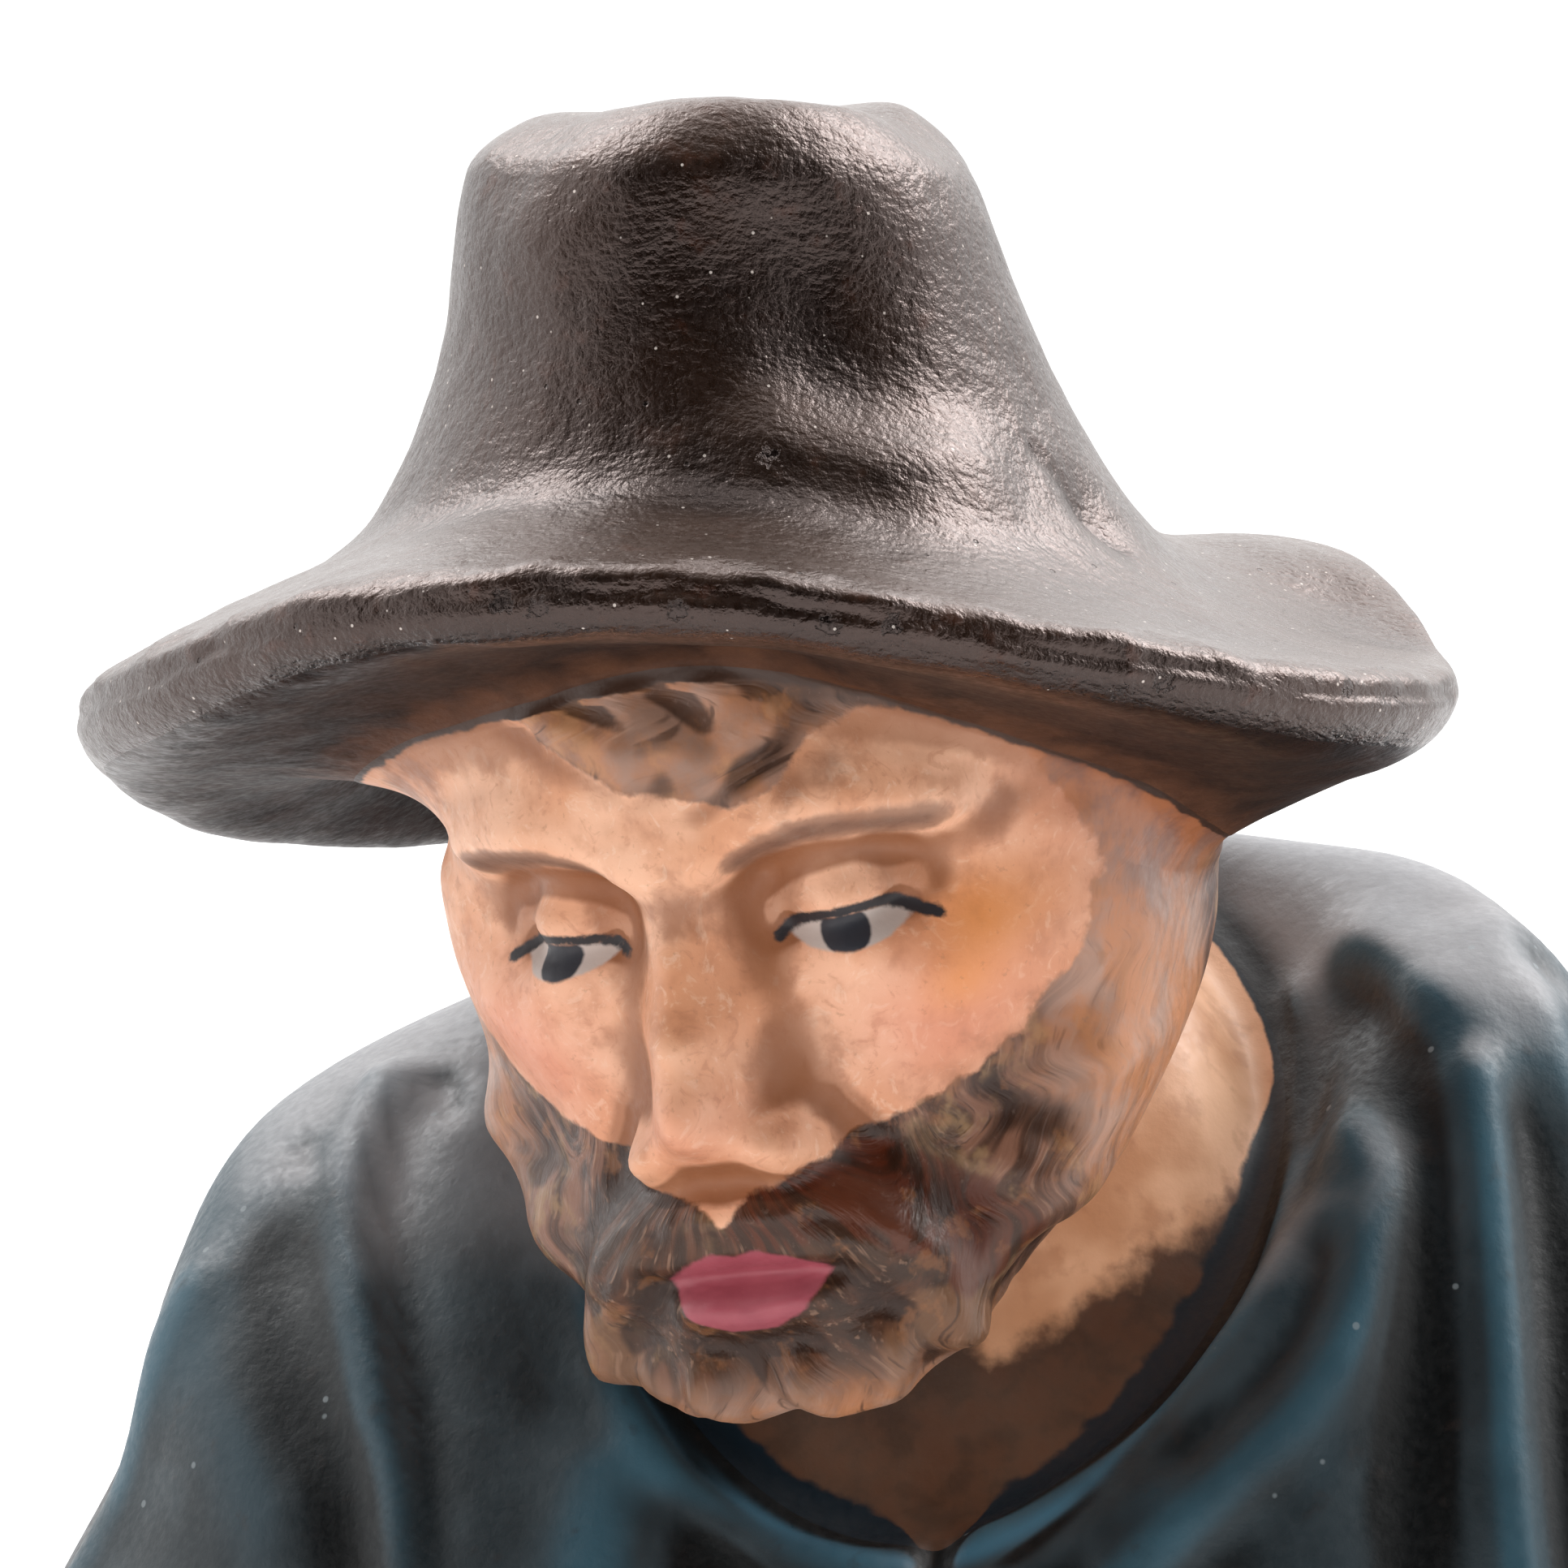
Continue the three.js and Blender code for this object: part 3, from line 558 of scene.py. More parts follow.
def inside(points, outline):
    """Distance in from a closed outline in the chart, negative outside it."""
    outline = np.array(outline, float)
    nearest = np.full(points.shape[:-1], np.inf)
    crossings = np.zeros(points.shape[:-1], bool)
    for start, end in zip(outline, np.roll(outline, -1, axis=0)):
        along = end - start
        off = points - start
        share = clamp(off @ along / (along @ along))
        nearest = np.minimum(nearest, np.linalg.norm(off - share[..., None] * along, axis=-1))
        spans = (start[1] > points[..., 1]) != (end[1] > points[..., 1])
        rise = along[1] if along[1] else 1e-9
        crossings ^= spans & (points[..., 0] < start[0] + (points[..., 1] - start[1]) * along[0] / rise)
    return np.where(crossings, nearest, -nearest)


def painted(width, *path, chart=MIRRORED_CHART):
    """Distance in from the edge of a brush stroke, on both sides unless it is given
    the plain chart."""
    return width - nearness(chart, curved(path))[0]


def spot(x, y, radius):
    """A soft round patch in the chart, 1 at its middle."""
    return bell(np.linalg.norm(CHART - [x, y], axis=-1) / radius)


def ball(centre, radius):
    """A soft ball in space, 1 at its centre."""
    return bell(np.linalg.norm(skin - np.array(centre), axis=-1) / radius)


def hollowness(skin, normals, reach):
    """Above 0 in hollows and below 0 on edges, seen over so many points."""
    rows = len(skin)
    up = skin[np.minimum(np.arange(rows) + reach, rows - 1)]
    down = skin[np.maximum(np.arange(rows) - reach, 0)]
    left, right = np.roll(skin, reach, axis=1), np.roll(skin, -reach, axis=1)
    middle = (up + down + left + right) / 4
    spread = (np.linalg.norm(up - down, axis=2) + np.linalg.norm(left - right, axis=2)) / 4
    return np.sum((middle - skin) * normals, axis=2) / np.maximum(spread, 1e-6)


# Outlines in the chart
BEARD = [
    (-9.0, 11.5), (-7.7, 11.2), (-7.0, 9.6), (-5.9, 8.4), (-4.6, 7.9), (-3.4, 7.5),
    (-2.0, 7.0), (-0.6, 6.5), (0, 5.9), (0.6, 6.5), (2.0, 7.0), (3.4, 7.4), (4.6, 7.5),
    (5.9, 8.1), (7.0, 9.6), (7.5, 11.2), (7.7, 13.0), (7.4, 14.6), (7.6, 15.8),
    (10.0, 16.2), (9.8, 5), (5, -2.5), (-5, -2.5), (-9.5, 5),
]
HAIRLINE = [
    (-3.5, 22), (-3.1, 18.3), (-2.3, 16.9), (-0.8, 16.0), (0.9, 15.6), (1.9, 15.2),
    (2.6, 15.4), (3.2, 15.8), (3.6, 16.3), (4.4, 16.6), (5.7, 16.4), (6.6, 17.2), (7.4, 22),
]
LIPS = [
    (-1.9, 4.5), (-1.1, 4.95), (-0.45, 5.2), (0, 5.08), (0.45, 5.2), (1.1, 4.95), (1.9, 4.5),
    (1.2, 3.75), (0.5, 3.4), (-0.5, 3.4), (-1.2, 3.75),
]
EYE_OPENING = [
    (2.1, 11.9), (2.8, 12.15), (3.6, 12.2), (4.4, 12.0), (4.9, 11.75), (4.2, 11.5),
    (3.4, 11.4), (2.6, 11.6),
]

level = np.broadcast_to(LEVELS[:, None], skin.shape[:2])
facing = -BEHIND - 3.0
on_face = np.where(facing > 0, 0.0, -9.0)  # keeps the features off the back

# Hair covers the beard, the forelock, and the head behind the ears, but not the neck
JAW_LEVEL = 12.2
back_hair = BEHIND + 1.4 + 2.4 * fading(ABOVE, 8.5, 11.5)
hair = np.maximum.reduce([inside(CHART, BEARD), back_hair, inside(CHART, HAIRLINE)])
hair = np.where(level > JAW_LEVEL, hair, -1.0)

# Brown smears and knocks on the forehead and temples
GRIME = [
    (3.1, 15.6, 0.5), (3.9, 15.7, 0.4), (8.3, 14.4, 0.45), (7.9, 14.9, 0.35), (-7.6, 15.2, 0.7),
    (-6.6, 16.0, 0.6), (0.2, 13.4, 0.7), (-0.9, 12.4, 0.4), (6.6, 13.6, 0.5), (6.9, 8.8, 0.5),
]

# Strands run out from under the nose, and in waves below and beside the mouth. Each
# point has its place across them and along them
STRAND_WIDTH, STRAND_LENGTH, STRAND_RELIEF = 0.5, 2.6, 0.08
NOSE_ROOT = 8.5  # the height that the moustache's strands run out from
at_mouth = fading(np.hypot(ACROSS, ABOVE - 6.0), 3.0, 5.0) * smooth(ABOVE, 2.2, 4.2)
sweep = np.arctan2(ACROSS, NOSE_ROOT - ABOVE) * 5.5
round_head = HEAD_RADIUS * np.arctan2(ACROSS, -BEHIND)
waves = 0.3 * np.sin(2.1 * ABOVE + 0.6 * ACROSS) + 0.1 * np.sin(5.3 * ABOVE)
falling = round_head * (1 + 0.05 * (4 - ABOVE)) + waves
across = falling + (sweep - falling) * at_mouth + 0.3 * lumps(skin, 1.7, 3)
along = -ABOVE + (np.hypot(ACROSS, NOSE_ROOT - ABOVE) + ABOVE) * at_mouth
strands = np.stack([across / STRAND_WIDTH, along / STRAND_LENGTH, np.zeros_like(across)], axis=2)
temple = smooth(np.abs(ACROSS), 5.6, 7.4)
on_beard = smooth(hair, 0.0, 0.5) * clamp(facing) * smooth(ABOVE, -0.2, 1.6)
on_beard *= 1 - 0.75 * temple
skin = skin + (STRAND_RELIEF * on_beard * lumps(strands, 1.4, 12))[..., None] * normals

final_normals = normals_of(skin)
bust.data.vertices.foreach_set("co", (skin * MM).astype(np.float32).ravel())
bust.data.update()

# The throat's dark brown wash, painted shade under the beard, lies below borders that slant up to
# either side
left, back, high = skin[..., 0], skin[..., 1], skin[..., 2]
THROAT_X = 1.5
throat = 11.7 + np.maximum(0.62 * (left - THROAT_X), 1.5 * (THROAT_X - left))

# The level where cloth paint ends: lower in the split at the throat, and at the left nape
split = bell((left - 0.6) / 0.7) * fading(back, -7.0, -5.0)
nape = smooth(back, -2.5, 0.5) * smooth(left, 4.0, 6.0)
collar_border = 9.1 - 1.8 * split - 0.9 * nape

# Dust and painted sheen lie on what faces up, with more or less of them round these places
DUST_AND_SHEEN_PATCHES = [
    (0.55, (7.8, 2.8, 20.9), 2.2), (0.2, (13.3, -1.2, 19.0), 1.6), (-0.6, (10.0, -2.8, 18.2), 1.9),
]
dust_and_sheen = final_normals[..., 2].copy()
for share, centre, radius in DUST_AND_SHEEN_PATCHES:
    dust_and_sheen += share * ball(centre, radius)

# The beard's dark middle, painted shade under the lips and beside the moustache, and its paler outer
# edge, painted sheen with ochre paint in it
shaded_core = 1.2 * spot(0, 2.3, 2.2) + spot(-2.6, 5.4, 1.8) + spot(2.5, 5.6, 2.0) + 0.7 * spot(3.2, 2.8, 1.8)
pale_rim_and_sheen = np.maximum.reduce([
    fading(ABOVE, 0.9, 2.9),
    temple * fading(BEHIND, -0.5, 1.5),
    0.6 * smooth(ABOVE, 14.5, 15.5),
])

# Brush marks run round the hat in low arches, and are stretched along them
ARCH, STRETCH = 0.03, 0.45
arch = high + ARCH * (left - HAT_CENTRE[0]) ** 2

COLLAR_LEVEL = 7.0
paint = {
    "level": level,
    "dust_and_sheen": dust_and_sheen * smooth(high, 8.0, 14.5),
    "above_collar": level - collar_border,
    "hair": hair,
    "shaded_core": shaded_core,
    "pale_rim_and_sheen": pale_rim_and_sheen,
    "temple": temple,
    "locks": relief_at(BEARD_RELIEF, CHART) * fading(ABOVE, 3.2, 4.2),
    "brow": painted(0.4, [1.7, 13.9], [3.2, 14.4], [5.4, 13.9]) + on_face,
    "lash": painted(0.13, [1.95, 11.85], [2.7, 12.2], [3.6, 12.3], [4.4, 12.1], [5.2, 11.6]) + on_face,
    "eye_white": inside(MIRRORED_CHART, EYE_OPENING) + on_face,
    "iris": painted(0.5, [3.4, 11.85]) + on_face,
    "moustache": painted(0.95, [0.9, 6.1], [2.4, 6.2], [3.9, 5.3], [4.7, 4.2], chart=CHART) + on_face,
    "lips": inside(CHART, LIPS) + on_face,
    "blush": spot(4.9, 9.4, 1.7) + spot(-4.9, 9.4, 1.9) + 0.5 * spot(0, 8.2, 1.2),
    "orange": spot(5.9, 11.3, 0.9) + 0.8 * spot(5.2, 10.0, 0.7),
    "ruddy": clamp(spot(8.6, 13.8, 1.8) + spot(9.0, 11.0, 1.8)),
    "grime": sum(spot(*where) for where in GRIME) * (facing > 0),
    "throat": throat - high,
    "folds": folds,
    # Along the collar's crest at the front, where the teal painted highlight goes
    "crest": bell((level - COLLAR_LEVEL) / 0.45) * fading(back, -2.5, 2.0),
    "hollow": hollowness(skin, final_normals, 3),
    "broad_hollow": hollowness(skin, final_normals, 9),
    "upward": final_normals[..., 2],
    "brushed": np.stack([STRETCH * left, STRETCH * back, arch], axis=2),
    "strands": strands,
}
for name, values in paint.items():
    kind, field = ("FLOAT", "value") if values.ndim == 2 else ("FLOAT_VECTOR", "vector")
    layer = bust.data.attributes.new(name, kind, "POINT")
    layer.data.foreach_set(field, np.ascontiguousarray(values, np.float32).ravel())


# Materials

def colour(hex_code):
    """A linear colour from a screen colour."""
    channels = [int(hex_code[i:i + 2], 16) / 255 for i in (0, 2, 4)]
    linear = [c / 12.92 if c <= 0.04045 else ((c + 0.055) / 1.055) ** 2.4 for c in channels]
    return (*linear, 1.0)


class Nodes:
    """Short calls for the nodes of one material."""

    def __init__(self, name, index, **gloss):
        material = bpy.data.materials.new(name)
        material.use_nodes = True
        while len(bust.data.materials) <= index:
            bust.data.materials.append(None)
        bust.data.materials[index] = material
        self.tree = material.node_tree
        self.shader = self.tree.nodes["Principled BSDF"]
        for socket, value in gloss.items():
            self.shader.inputs[socket.replace("_", " ")].default_value = value

    def add(self, kind, **settings):
        node = self.tree.nodes.new(kind)
        for key, value in settings.items():
            setattr(node, key, value)
        return node

    def feed(self, socket, value):
        if isinstance(value, bpy.types.NodeSocket):
            self.tree.links.new(value, socket)
        else:
            socket.default_value = value

    def math(self, operation, a, b):
        node = self.add("ShaderNodeMath", operation=operation)
        self.feed(node.inputs[0], a)
        self.feed(node.inputs[1], b)
        return node.outputs[0]

    def times(self, a, b):
        return self.math("MULTIPLY", a, b)

    def plus(self, a, b):
        return self.math("ADD", a, b)

    def span(self, value, low, high, to_low=0.0, to_high=1.0):
        """value mapped from low..high onto to_low..to_high, eased and clamped."""
        node = self.add("ShaderNodeMapRange", interpolation_type="SMOOTHSTEP")
        for socket, given in zip(node.inputs, (value, low, high, to_low, to_high)):
            self.feed(socket, given)
        return node.outputs["Result"]

    def mix(self, share, a, b):
        """Between two colours, each a socket or a screen colour."""
        node = self.add("ShaderNodeMix", data_type="RGBA")
        self.feed(node.inputs["Factor"], share)
        for socket, value in ((node.inputs[6], a), (node.inputs[7], b)):
            self.feed(socket, colour(value) if isinstance(value, str) else value)
        return node.outputs[2]

    def coats(self, tone, *layers):
        """A colour with thin coats over it, each a share and a colour."""
        for share, coat in layers:
            tone = self.mix(share, tone, coat)
        return tone

    def total(self, *parts):
        """The sum of values, each times its own weight."""
        total = self.times(*parts[0])
        for value, weight in parts[1:]:
            total = self.plus(total, self.times(value, weight))
        return total

    def layer(self, name, output="Fac"):
        return self.add("ShaderNodeAttribute", attribute_name=name).outputs[output]

    def place(self, size=1.0, shift=0.0):
        """Object coordinates counted in steps of so many millimetres."""
        where = self.add("ShaderNodeTexCoord").outputs["Object"]
        node = self.add("ShaderNodeMapping")
        node.inputs["Scale"].default_value = [1 / (size * MM)] * 3
        node.inputs["Location"].default_value = [shift] * 3
        self.feed(node.inputs["Vector"], where)
        return node.outputs["Vector"]

    def grain(self, size, detail=3.0, rough=0.5, where=None, warp=0.0):
        """Noise from 0 to 1 with features of about that many millimetres."""
        node = self.add("ShaderNodeTexNoise")
        self.feed(node.inputs["Vector"], where or self.place())
        node.inputs["Scale"].default_value = 1 / size
        node.inputs["Detail"].default_value = detail
        node.inputs["Roughness"].default_value = rough
        node.inputs["Distortion"].default_value = warp
        return node.outputs["Fac"]

    def specks(self, spacing, radius, share, shift=0.0):
        """Small round dots: 1 inside, at most one in each cell of that spacing."""
        node = self.add("ShaderNodeTexVoronoi")
        node.inputs["Scale"].default_value = 1.0
        self.feed(node.inputs["Vector"], self.place(spacing, shift))
        dot = self.span(node.outputs["Distance"], radius / spacing, 0.6 * radius / spacing)
        red = self.add("ShaderNodeSeparateColor")
        self.feed(red.inputs[0], node.outputs["Color"])
        return self.times(dot, self.math("LESS_THAN", red.outputs[0], share))

    def near(self, points, radius, wobble, amount):
        """1 close to any of the points, with a ragged border."""
        where = self.place()
        closest = 99.0
        for point in points:
            gap = self.add("ShaderNodeVectorMath", operation="DISTANCE")
            self.feed(gap.inputs[0], where)
            gap.inputs[1].default_value = point
            closest = self.math("MINIMUM", closest, gap.outputs["Value"])
        closest = self.plus(closest, self.times(self.plus(wobble, -0.5), amount * 2))
        return self.span(closest, radius, 0.6 * radius)

    def edge(self, value, blur, wobble=None, amount=0.0):
        """1 where value is above 0, with a border that wanders with the wobble."""
        if wobble is not None:
            value = self.plus(value, self.times(self.plus(wobble, -0.5), amount * 2))
        return self.span(value, -blur, blur)

    def finish(self, base, roughness, rise):
        """Colour, roughness, and a height in millimetres for the bump."""
        bump = self.add("ShaderNodeBump")
        bump.inputs["Distance"].default_value = MM
        bump.inputs["Strength"].default_value = 1.0
        self.feed(bump.inputs["Height"], rise)
        self.feed(self.shader.inputs["Normal"], bump.outputs["Normal"])
        self.feed(self.shader.inputs["Base Color"], base)
        self.feed(self.shader.inputs["Roughness"], roughness)


# Small knocks in the paint of the hat, along the lip and beside the crown
KNOCKS = [
    (-7.67, -23.14, 31.25), (-6.86, -23.4, 31.12), (-3.75, -23.73, 31.15), (-0.51, -23.42, 30.82),
    (5.59, -20.64, 29.02), (6.52, -20.34, 29.24), (0.8, -23.05, 30.84), (10.37, -16.66, 28.77),
    (11.43, -14.9, 28.34), (-2.56, -16.54, 33.66), (-2.3, -16.5, 33.3), (-2.7, -14.8, 37.5),
]


BROWN_SHEEN = (1, 0.77, 0.71, 1)
PALE_SHEEN = (1, 0.93, 0.9, 1)


def hat_colours(n, medium, large):
    """Dark brown hat paint, paler where it faces up with dust and painted highlight, and with painted
    shade in its hollows.
    """
    # Paler on what faces up: dust, and painted highlight
    dust = n.span(n.plus(n.layer("upward"), n.times(medium, 0.5)), 0.5, 1.2)
    return n.coats(
        n.mix(n.span(large, 0.35, 0.7), "110703", "1f1109"),
        (n.times(n.span(medium, 0.58, 0.74), 0.45), "3f2013"),
        (n.times(dust, 0.3), "5f4b40"),
        # Nearly black in its broad hollows: painted shade
        (n.span(n.layer("broad_hollow"), 0.0, 0.2), "0f0705"),
    )


def paint_hat(index):
    n = Nodes("hat_paint", index, IOR=1.75, Specular_Tint=BROWN_SHEEN)
    brushed = n.layer("brushed", "Vector")
    streaks, fine = n.grain(0.2, 2, 0.5, brushed), n.grain(0.17, 3, 0.6)
    medium, large = n.grain(0.8, 4, 0.55), n.grain(3.0, 3, 0.5)
    dust, pits = n.specks(0.4, 0.045, 0.42), n.specks(0.8, 0.08, 0.3, 3.7)
    holes = n.math("MAXIMUM", pits, n.near(KNOCKS, 0.27, fine, 0.35))
    tone = n.coats(hat_colours(n, medium, large), (holes, "0a0504"), (n.times(dust, 0.9), "cdc3bb"))
    rise = n.total((streaks, 0.04), (fine, 0.045), (medium, 0.06), (holes, -0.05))
    n.finish(tone, n.span(fine, 0.3, 0.7, 0.22, 0.37), rise)


def paint_under_brim(index):
    """The duller brown underside, thin enough to show the clay near the head."""
    n = Nodes("under_brim_paint", index, Specular_IOR_Level=0.3, Specular_Tint=BROWN_SHEEN)
    fine, medium, level = n.grain(0.25, 4, 0.6), n.grain(1.1, 4, 0.55), n.layer("level")
    near_head = n.span(n.plus(level, n.times(medium, -0.7)), 18.3, 17.5)
    near_lip = n.span(n.plus(level, n.times(medium, 0.5)), 19.5, 20.5, 0.0, -0.25)
    tone = n.coats(
        n.mix(n.span(medium, 0.35, 0.65), "1b110d", "2b1b14"),
        (n.times(near_head, 0.6), n.mix(medium, "4a2a1a", "7a5038")),
    )
    gloss = n.plus(n.span(fine, 0.3, 0.7, 0.5, 0.65), near_lip)
    n.finish(tone, gloss, n.times(n.plus(fine, medium), 0.03))


def hair_colours(n, fine, medium):
    """Thin washes of brown over skin, with painted shade darkest round the mouth and a painted sheen of
    pinkish grey at the outer edge.
    """
    strands = n.layer("strands", "Vector")
    broad, thin = n.grain(0.9, 2, 0.5, strands), n.grain(0.4, 2, 0.6, strands)
    patches = n.grain(1.5, 4, 0.6)
    shaded_core = n.span(n.layer("shaded_core"), 0.1, 0.8)
    locks = n.plus(n.layer("locks"), n.times(n.plus(broad, -0.5), 0.6))
    pale_rim_and_sheen = n.times(n.layer("pale_rim_and_sheen"), n.span(broad, 0.3, 0.6, 0.72, 0.96))
    darkness = n.plus(0.7, n.times(n.layer("temple"), -0.5))
    moustache = n.edge(n.layer("moustache"), 0.12, broad, 0.3)
    return n.coats(
        n.mix(n.span(broad, 0.4, 0.62), "301a12", "7a5443"),
        (n.span(patches, 0.5, 0.62, 0.0, 0.7), "927350"),
        # The dark middle as painted shade, with tan on its locks as painted highlight and painted shade
        # nearly black between them
        (n.times(shaded_core, 0.9), n.mix(n.span(broad, 0.35, 0.7), "0e0604", "43210f")),
        (n.span(locks, 0.2, 0.45, 0.0, 0.55), "7d583c"),
        (n.times(n.span(locks, 0.15, -0.1), n.times(shaded_core, 0.85)), "0f0604"),
        # The paler outer edge with its painted sheen, then single pale and dark strands, and painted
        # shade in the gaps between locks
        (pale_rim_and_sheen, n.mix(n.span(patches, 0.35, 0.6), "ba937f", "c5845c")),
        (n.times(n.span(thin, 0.58, 0.72), 0.4), "a9846d"),
        (n.times(n.span(thin, 0.42, 0.3), darkness), "22130e"),
        (n.span(n.layer("hollow"), 0.0, 0.1, 0.0, 0.8), "1e110c"),
        # The ruddy marks at the ear, and the red-brown stroke on the moustache
        (n.times(n.layer("ruddy"), 0.75), n.mix(n.span(patches, 0.4, 0.6), "63301c", "93532f")),
        (n.times(moustache, 0.92), n.mix(n.span(broad, 0.4, 0.62), "1a0703", "4a1a08")),
        # Bare spots and dust
        (n.times(n.span(medium, 0.58, 0.7), 0.35), "a0683f"),
        (n.times(n.span(fine, 0.6, 0.75), 0.3), "806a60"),
    )


def face_colours(n, fine, medium, large):
    """Warm skin with pale and dark wisps, ruddy marks, and a brown wash in its hollows that is painted
    shade.
    """
    wisps = n.grain(0.7, 4, 0.65, warp=2.0)
    shaded_wash = n.plus(n.layer("broad_hollow"), n.times(n.plus(medium, -0.5), 0.25))
    grime = n.edge(n.plus(n.layer("grime"), -0.6), 0.5, medium, 0.9)
    return n.coats(
        n.mix(n.span(large, 0.35, 0.65), "db9a74", "edb898"),
        (n.times(n.span(medium, 0.45, 0.7), 0.4), "bd7d5a"),
        (n.times(n.span(wisps, 0.55, 0.68), 0.35), "f4d2b8"),
        (n.times(n.span(wisps, 0.44, 0.32), 0.35), "b8795a"),
        (n.times(n.layer("blush"), 0.5), "dc8570"),
        (n.times(n.layer("orange"), 0.75), "e69350"),
        (n.times(n.layer("ruddy"), 0.7), "a8644a"),
        # A brown wash darker in the hollows: painted shade
        (n.span(shaded_wash, 0.0, 0.16, 0.0, 0.6), "8f5c3f"),
        (n.span(n.layer("hollow"), 0.0, 0.1, 0.0, 0.8), "86502f"),
        (n.times(grime, 0.6), "8a5a42"),
        (n.times(n.span(fine, 0.62, 0.72), 0.3), "9c6a4e"),
    )


def neck_colours(n, medium, large):
    """Plain skin, with a dark brown wash over the throat as painted shade under the beard."""
    throat = n.edge(n.layer("throat"), 0.45, medium, 0.9)
    return n.coats(
        n.mix(n.span(large, 0.35, 0.65), "e6b490", "c58f69"),
        (n.times(n.span(medium, 0.5, 0.7), 0.4), "a8714e"),
        (n.times(throat, 0.93), n.mix(n.span(medium, 0.35, 0.65), "22130e", "3f2519")),
    )


def paint_skin(index):
    n = Nodes("skin_and_hair_paint", index, Specular_Tint=PALE_SHEEN)
    fine, medium, large = n.grain(0.22, 4, 0.6), n.grain(0.9, 4, 0.55), n.grain(3.0, 3, 0.5)
    level, brow = n.layer("level"), n.layer("brow")
    hair_share = n.edge(n.layer("hair"), 0.08, medium, 0.35)
    brow_tone = n.mix(n.span(n.plus(brow, n.times(medium, 0.3)), 0.2, 0.5), "8d6652", "533a32")
    eye_tone = n.mix(n.edge(n.layer("iris"), 0.04), "bfb0a8", "2f3036")
    head = n.coats(
        face_colours(n, fine, medium, large),
        (n.span(level, 12.1, 11.9), neck_colours(n, medium, large)),
        (n.times(hair_share, 0.95), hair_colours(n, fine, medium)),
        (n.times(n.edge(brow, 0.1, medium, 0.2), 0.8), brow_tone),
        (n.edge(n.layer("lips"), 0.06, fine, 0.06), n.mix(medium, "8a3946", "b25c66")),
        (n.edge(n.layer("eye_white"), 0.05, fine, 0.04), eye_tone),
        (n.edge(n.layer("lash"), 0.05, fine, 0.08), "2c2a2d"),
    )
    # Cloth paint inside the collar, darkened to deep blue as painted shade, and the dark line where the
    # head meets the brim
    tone = n.coats(
        n.mix(0.75, smock_colours(n, medium, large), "071c27"),
        (n.edge(n.layer("above_collar"), 0.07, medium, 0.2), head),
        (n.edge(n.plus(level, -17.9), 0.03, medium, 0.12), "3b281f"),
    )
    # Single strands stand out in the hair, but not on the lips, and less at the temples
    thin_strands = n.grain(0.4, 2, 0.6, n.layer("strands", "Vector"))
    hairy = n.times(hair_share, n.span(n.layer("lips"), 0.1, -0.1))
    hairy = n.times(hairy, n.span(n.layer("temple"), 0.0, 1.0, 1.0, 0.3))
    rise = n.total((fine, 0.008), (medium, 0.02), (n.times(thin_strands, hairy), 0.035))
    n.finish(tone, n.plus(n.span(fine, 0.3, 0.7, 0.42, 0.56), n.times(hair_share, -0.1)), rise)


def smock_colours(n, medium, large):
    """Blue-black cloth paint, with teal painted highlight on its edges, collar and raised folds,
    painted shade nearly black in its folds and hollows, and pale grey on top for dust and painted
    sheen.
    """
    broad, folds = n.layer("broad_hollow"), n.layer("folds")
    # Pale grey on what faces up, and round set patches: dust, and painted sheen
    dust = n.span(n.plus(n.layer("dust_and_sheen"), n.times(large, 0.15)), 0.62, 1.05)
    dust = n.times(dust, n.span(n.layer("level"), 7.1, 6.5, 0.1, 1.0))
    return n.coats(
        n.mix(n.span(large, 0.35, 0.7), "1f272b", "323c41"),
        # Teal on outward edges, the collar's crest and raised folds: painted highlight
        (n.span(broad, -0.06, -0.22, 0.0, 0.6), "2b4753"),
        (n.times(n.layer("crest"), n.span(large, 0.3, 0.6, 0.4, 0.9)), "3b6478"),
        (n.times(n.span(folds, 0.12, 0.36), n.span(large, 0.3, 0.6, 0.3, 0.8)), "375866"),
        # Nearly black in sunken folds and hollows: painted shade
        (n.span(folds, -0.05, -0.3, 0.0, 0.85), "070a0c"),
        (n.span(broad, -0.03, 0.06, 0.0, 0.97), "050708"),
        (n.times(n.span(medium, 0.62, 0.74), 0.3), "2c221e"),
        (n.times(dust, 0.8), "969496"),
    )


def paint_smock(index):
    n = Nodes("smock_paint", index, IOR=1.45)
    fine, medium, large = n.grain(0.25, 3, 0.6), n.grain(0.9, 4, 0.55), n.grain(3.0, 3, 0.5)
    tone = n.coats(smock_colours(n, medium, large), (n.times(n.specks(1.1, 0.11, 0.5), 0.45), "8d9699"))
    n.finish(tone, n.span(fine, 0.3, 0.7, 0.4, 0.56), n.total((fine, 0.012), (medium, 0.04)))


def paint_underside(index):
    """Bare fired clay, rubbed, with dust on it."""
    n = Nodes("bare_terracotta", index, Specular_IOR_Level=0.3)
    fine, medium = n.grain(0.3, 4, 0.6), n.grain(2.0, 4, 0.55)
    tone = n.coats(
        n.mix(n.span(medium, 0.35, 0.65), "a65a38", "bd7350"),
        (n.span(fine, 0.55, 0.75), "cf9a7c"),
    )
    n.finish(tone, 0.85, n.times(fine, 0.04))


# In the order of the mesh's bands, from the smock up, and the underside last
REGIONS = (paint_smock, paint_skin, paint_under_brim, paint_hat, paint_underside)
for index, paint_region in enumerate(REGIONS):
    paint_region(index)


# Floor, lights and camera

FLOOR_SIZE = 6.0  # metres

# The photograph's viewing angle, in degrees, and where its middle lies across and above
CAMERA_AZIMUTH, CAMERA_ELEVATION = 6, 8
VIEW_ACROSS, VIEW_ABOVE = -3.92, 23.9
CAMERA_DISTANCE = 300
LENS, SENSOR = 302, 36

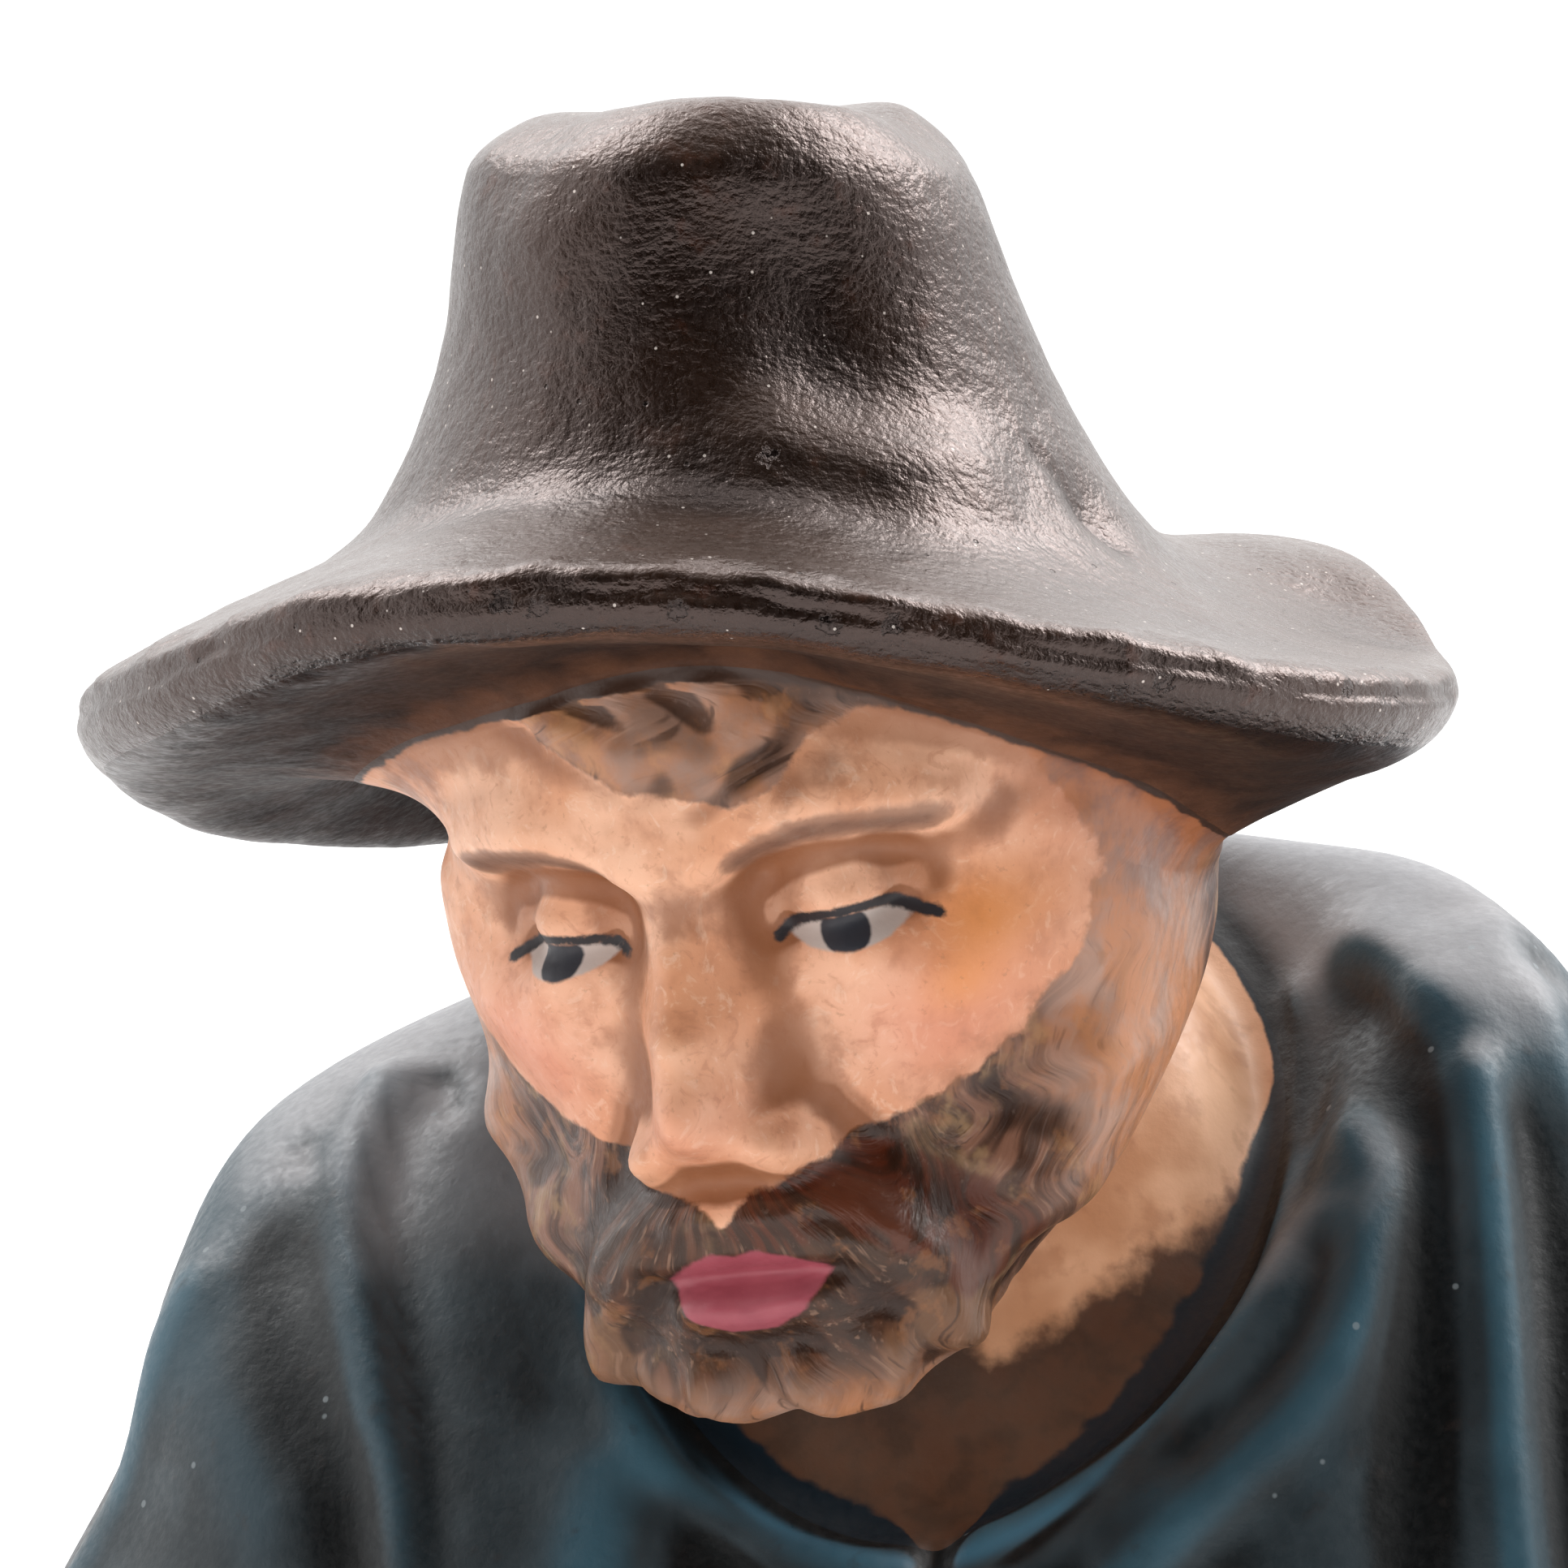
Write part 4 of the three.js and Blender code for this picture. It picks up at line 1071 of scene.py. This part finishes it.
# Brightness of the room, the way to its dark side, and what its lamps are aimed at
WALLS, CEILING = 1.5, 1.8
DARK_ROOM = 0.02
DARK_SIDE = (0.1, -0.88, 0.46)
HAT_AIM, FACE_AIM = (-4, -8, 32), (-4, -8, 24)


def make_floor():
    bpy.ops.mesh.primitive_plane_add(size=FLOOR_SIZE, location=(0, 0, 0))
    floor = bpy.context.object
    floor.name = "floor"
    material = bpy.data.materials.new("pale_floor")
    material.use_nodes = True
    shader = material.node_tree.nodes["Principled BSDF"]
    shader.inputs["Base Color"].default_value = (0.8, 0.8, 0.8, 1)
    shader.inputs["Roughness"].default_value = 0.9
    floor.data.materials.append(material)


def make_camera():
    """At the photograph's viewing angle, aimed at its middle."""
    azimuth, elevation = math.radians(CAMERA_AZIMUTH), math.radians(CAMERA_ELEVATION)
    back = Vector((
        math.sin(azimuth) * math.cos(elevation),
        -math.cos(azimuth) * math.cos(elevation),
        math.sin(elevation),
    ))
    right = Vector((math.cos(azimuth), math.sin(azimuth), 0))
    up = back.cross(right)
    target = right * VIEW_ACROSS + up * VIEW_ABOVE + back * Vector(HEAD_CENTRE).dot(back)
    data = bpy.data.cameras.new("camera")
    data.lens = LENS
    data.sensor_width = SENSOR
    data.clip_start = 0.01
    camera = bpy.data.objects.new("camera", data)
    axes = Matrix((right, up, back)).transposed().to_4x4()
    camera.matrix_world = Matrix.Translation((target + back * CAMERA_DISTANCE) * MM) @ axes
    bpy.context.scene.collection.objects.link(camera)
    bpy.context.scene.camera = camera


def make_light(name, place, aim, size, power, mirrored=True):
    """A soft panel lamp: place, aim and size in millimetres, power in watts."""
    data = bpy.data.lights.new(name, "AREA")
    data.shape = "RECTANGLE"
    data.size, data.size_y = size[0] * MM, size[1] * MM
    data.energy = power
    lamp = bpy.data.objects.new(name, data)
    lamp.visible_glossy = mirrored
    lamp.location = Vector(place) * MM
    lamp.rotation_euler = (Vector(place) - Vector(aim)).to_track_quat("Z", "Y").to_euler()
    bpy.context.scene.collection.objects.link(lamp)


def light_scene():
    """A bright room, dark towards the front, where a photographer would stand."""
    world = bpy.data.worlds.new("studio")
    bpy.context.scene.world = world
    world.use_nodes = True
    nodes = world.node_tree.nodes
    background = nodes["Background"]
    background.inputs["Color"].default_value = (1, 1, 1, 1)
    kinds = "TexCoord SeparateXYZ VectorMath MapRange MapRange Mix LightPath Mix"
    direction, height, towards_front, upper, lit, room, path, strength = (
        nodes.new("ShaderNode" + kind) for kind in kinds.split()
    )
    towards_front.operation = "DOT_PRODUCT"
    towards_front.inputs[1].default_value = DARK_SIDE
    for node, limits in ((upper, (0.4, 0.75, WALLS, CEILING)), (lit, (0.0, 0.85, 1, 0))):
        node.interpolation_type = "SMOOTHSTEP"
        for socket, value in zip(node.inputs[1:5], limits):
            socket.default_value = value
    room.inputs["A"].default_value = DARK_ROOM
    strength.inputs["B"].default_value = 1.0
    for source, output, target, socket in (
        (direction, "Generated", towards_front, 0), (direction, "Generated", height, 0),
        (height, "Z", upper, "Value"), (towards_front, "Value", lit, "Value"),
        (lit, "Result", room, "Factor"), (upper, "Result", room, "B"),
        (room, "Result", strength, "A"), (path, "Is Camera Ray", strength, "Factor"),
        (strength, "Result", background, "Strength"),
    ):
        world.node_tree.links.new(source.outputs[output], target.inputs[socket])
    make_light("left_panel", (-178, 106, 248), HAT_AIM, (170, 130), 0.37)
    make_light("right_panel", (188, 118, 224), HAT_AIM, (200, 150), 0.68)
    make_light("front_fill", (-70, -380, 80), FACE_AIM, (300, 110), 0.55, mirrored=False)
    make_light("floor_panel", (0, 650, 480), (0, 520, 0), (1400, 900), 3.5)
    bpy.context.scene.view_settings.view_transform = "Standard"


make_camera()
make_floor()
light_scene()
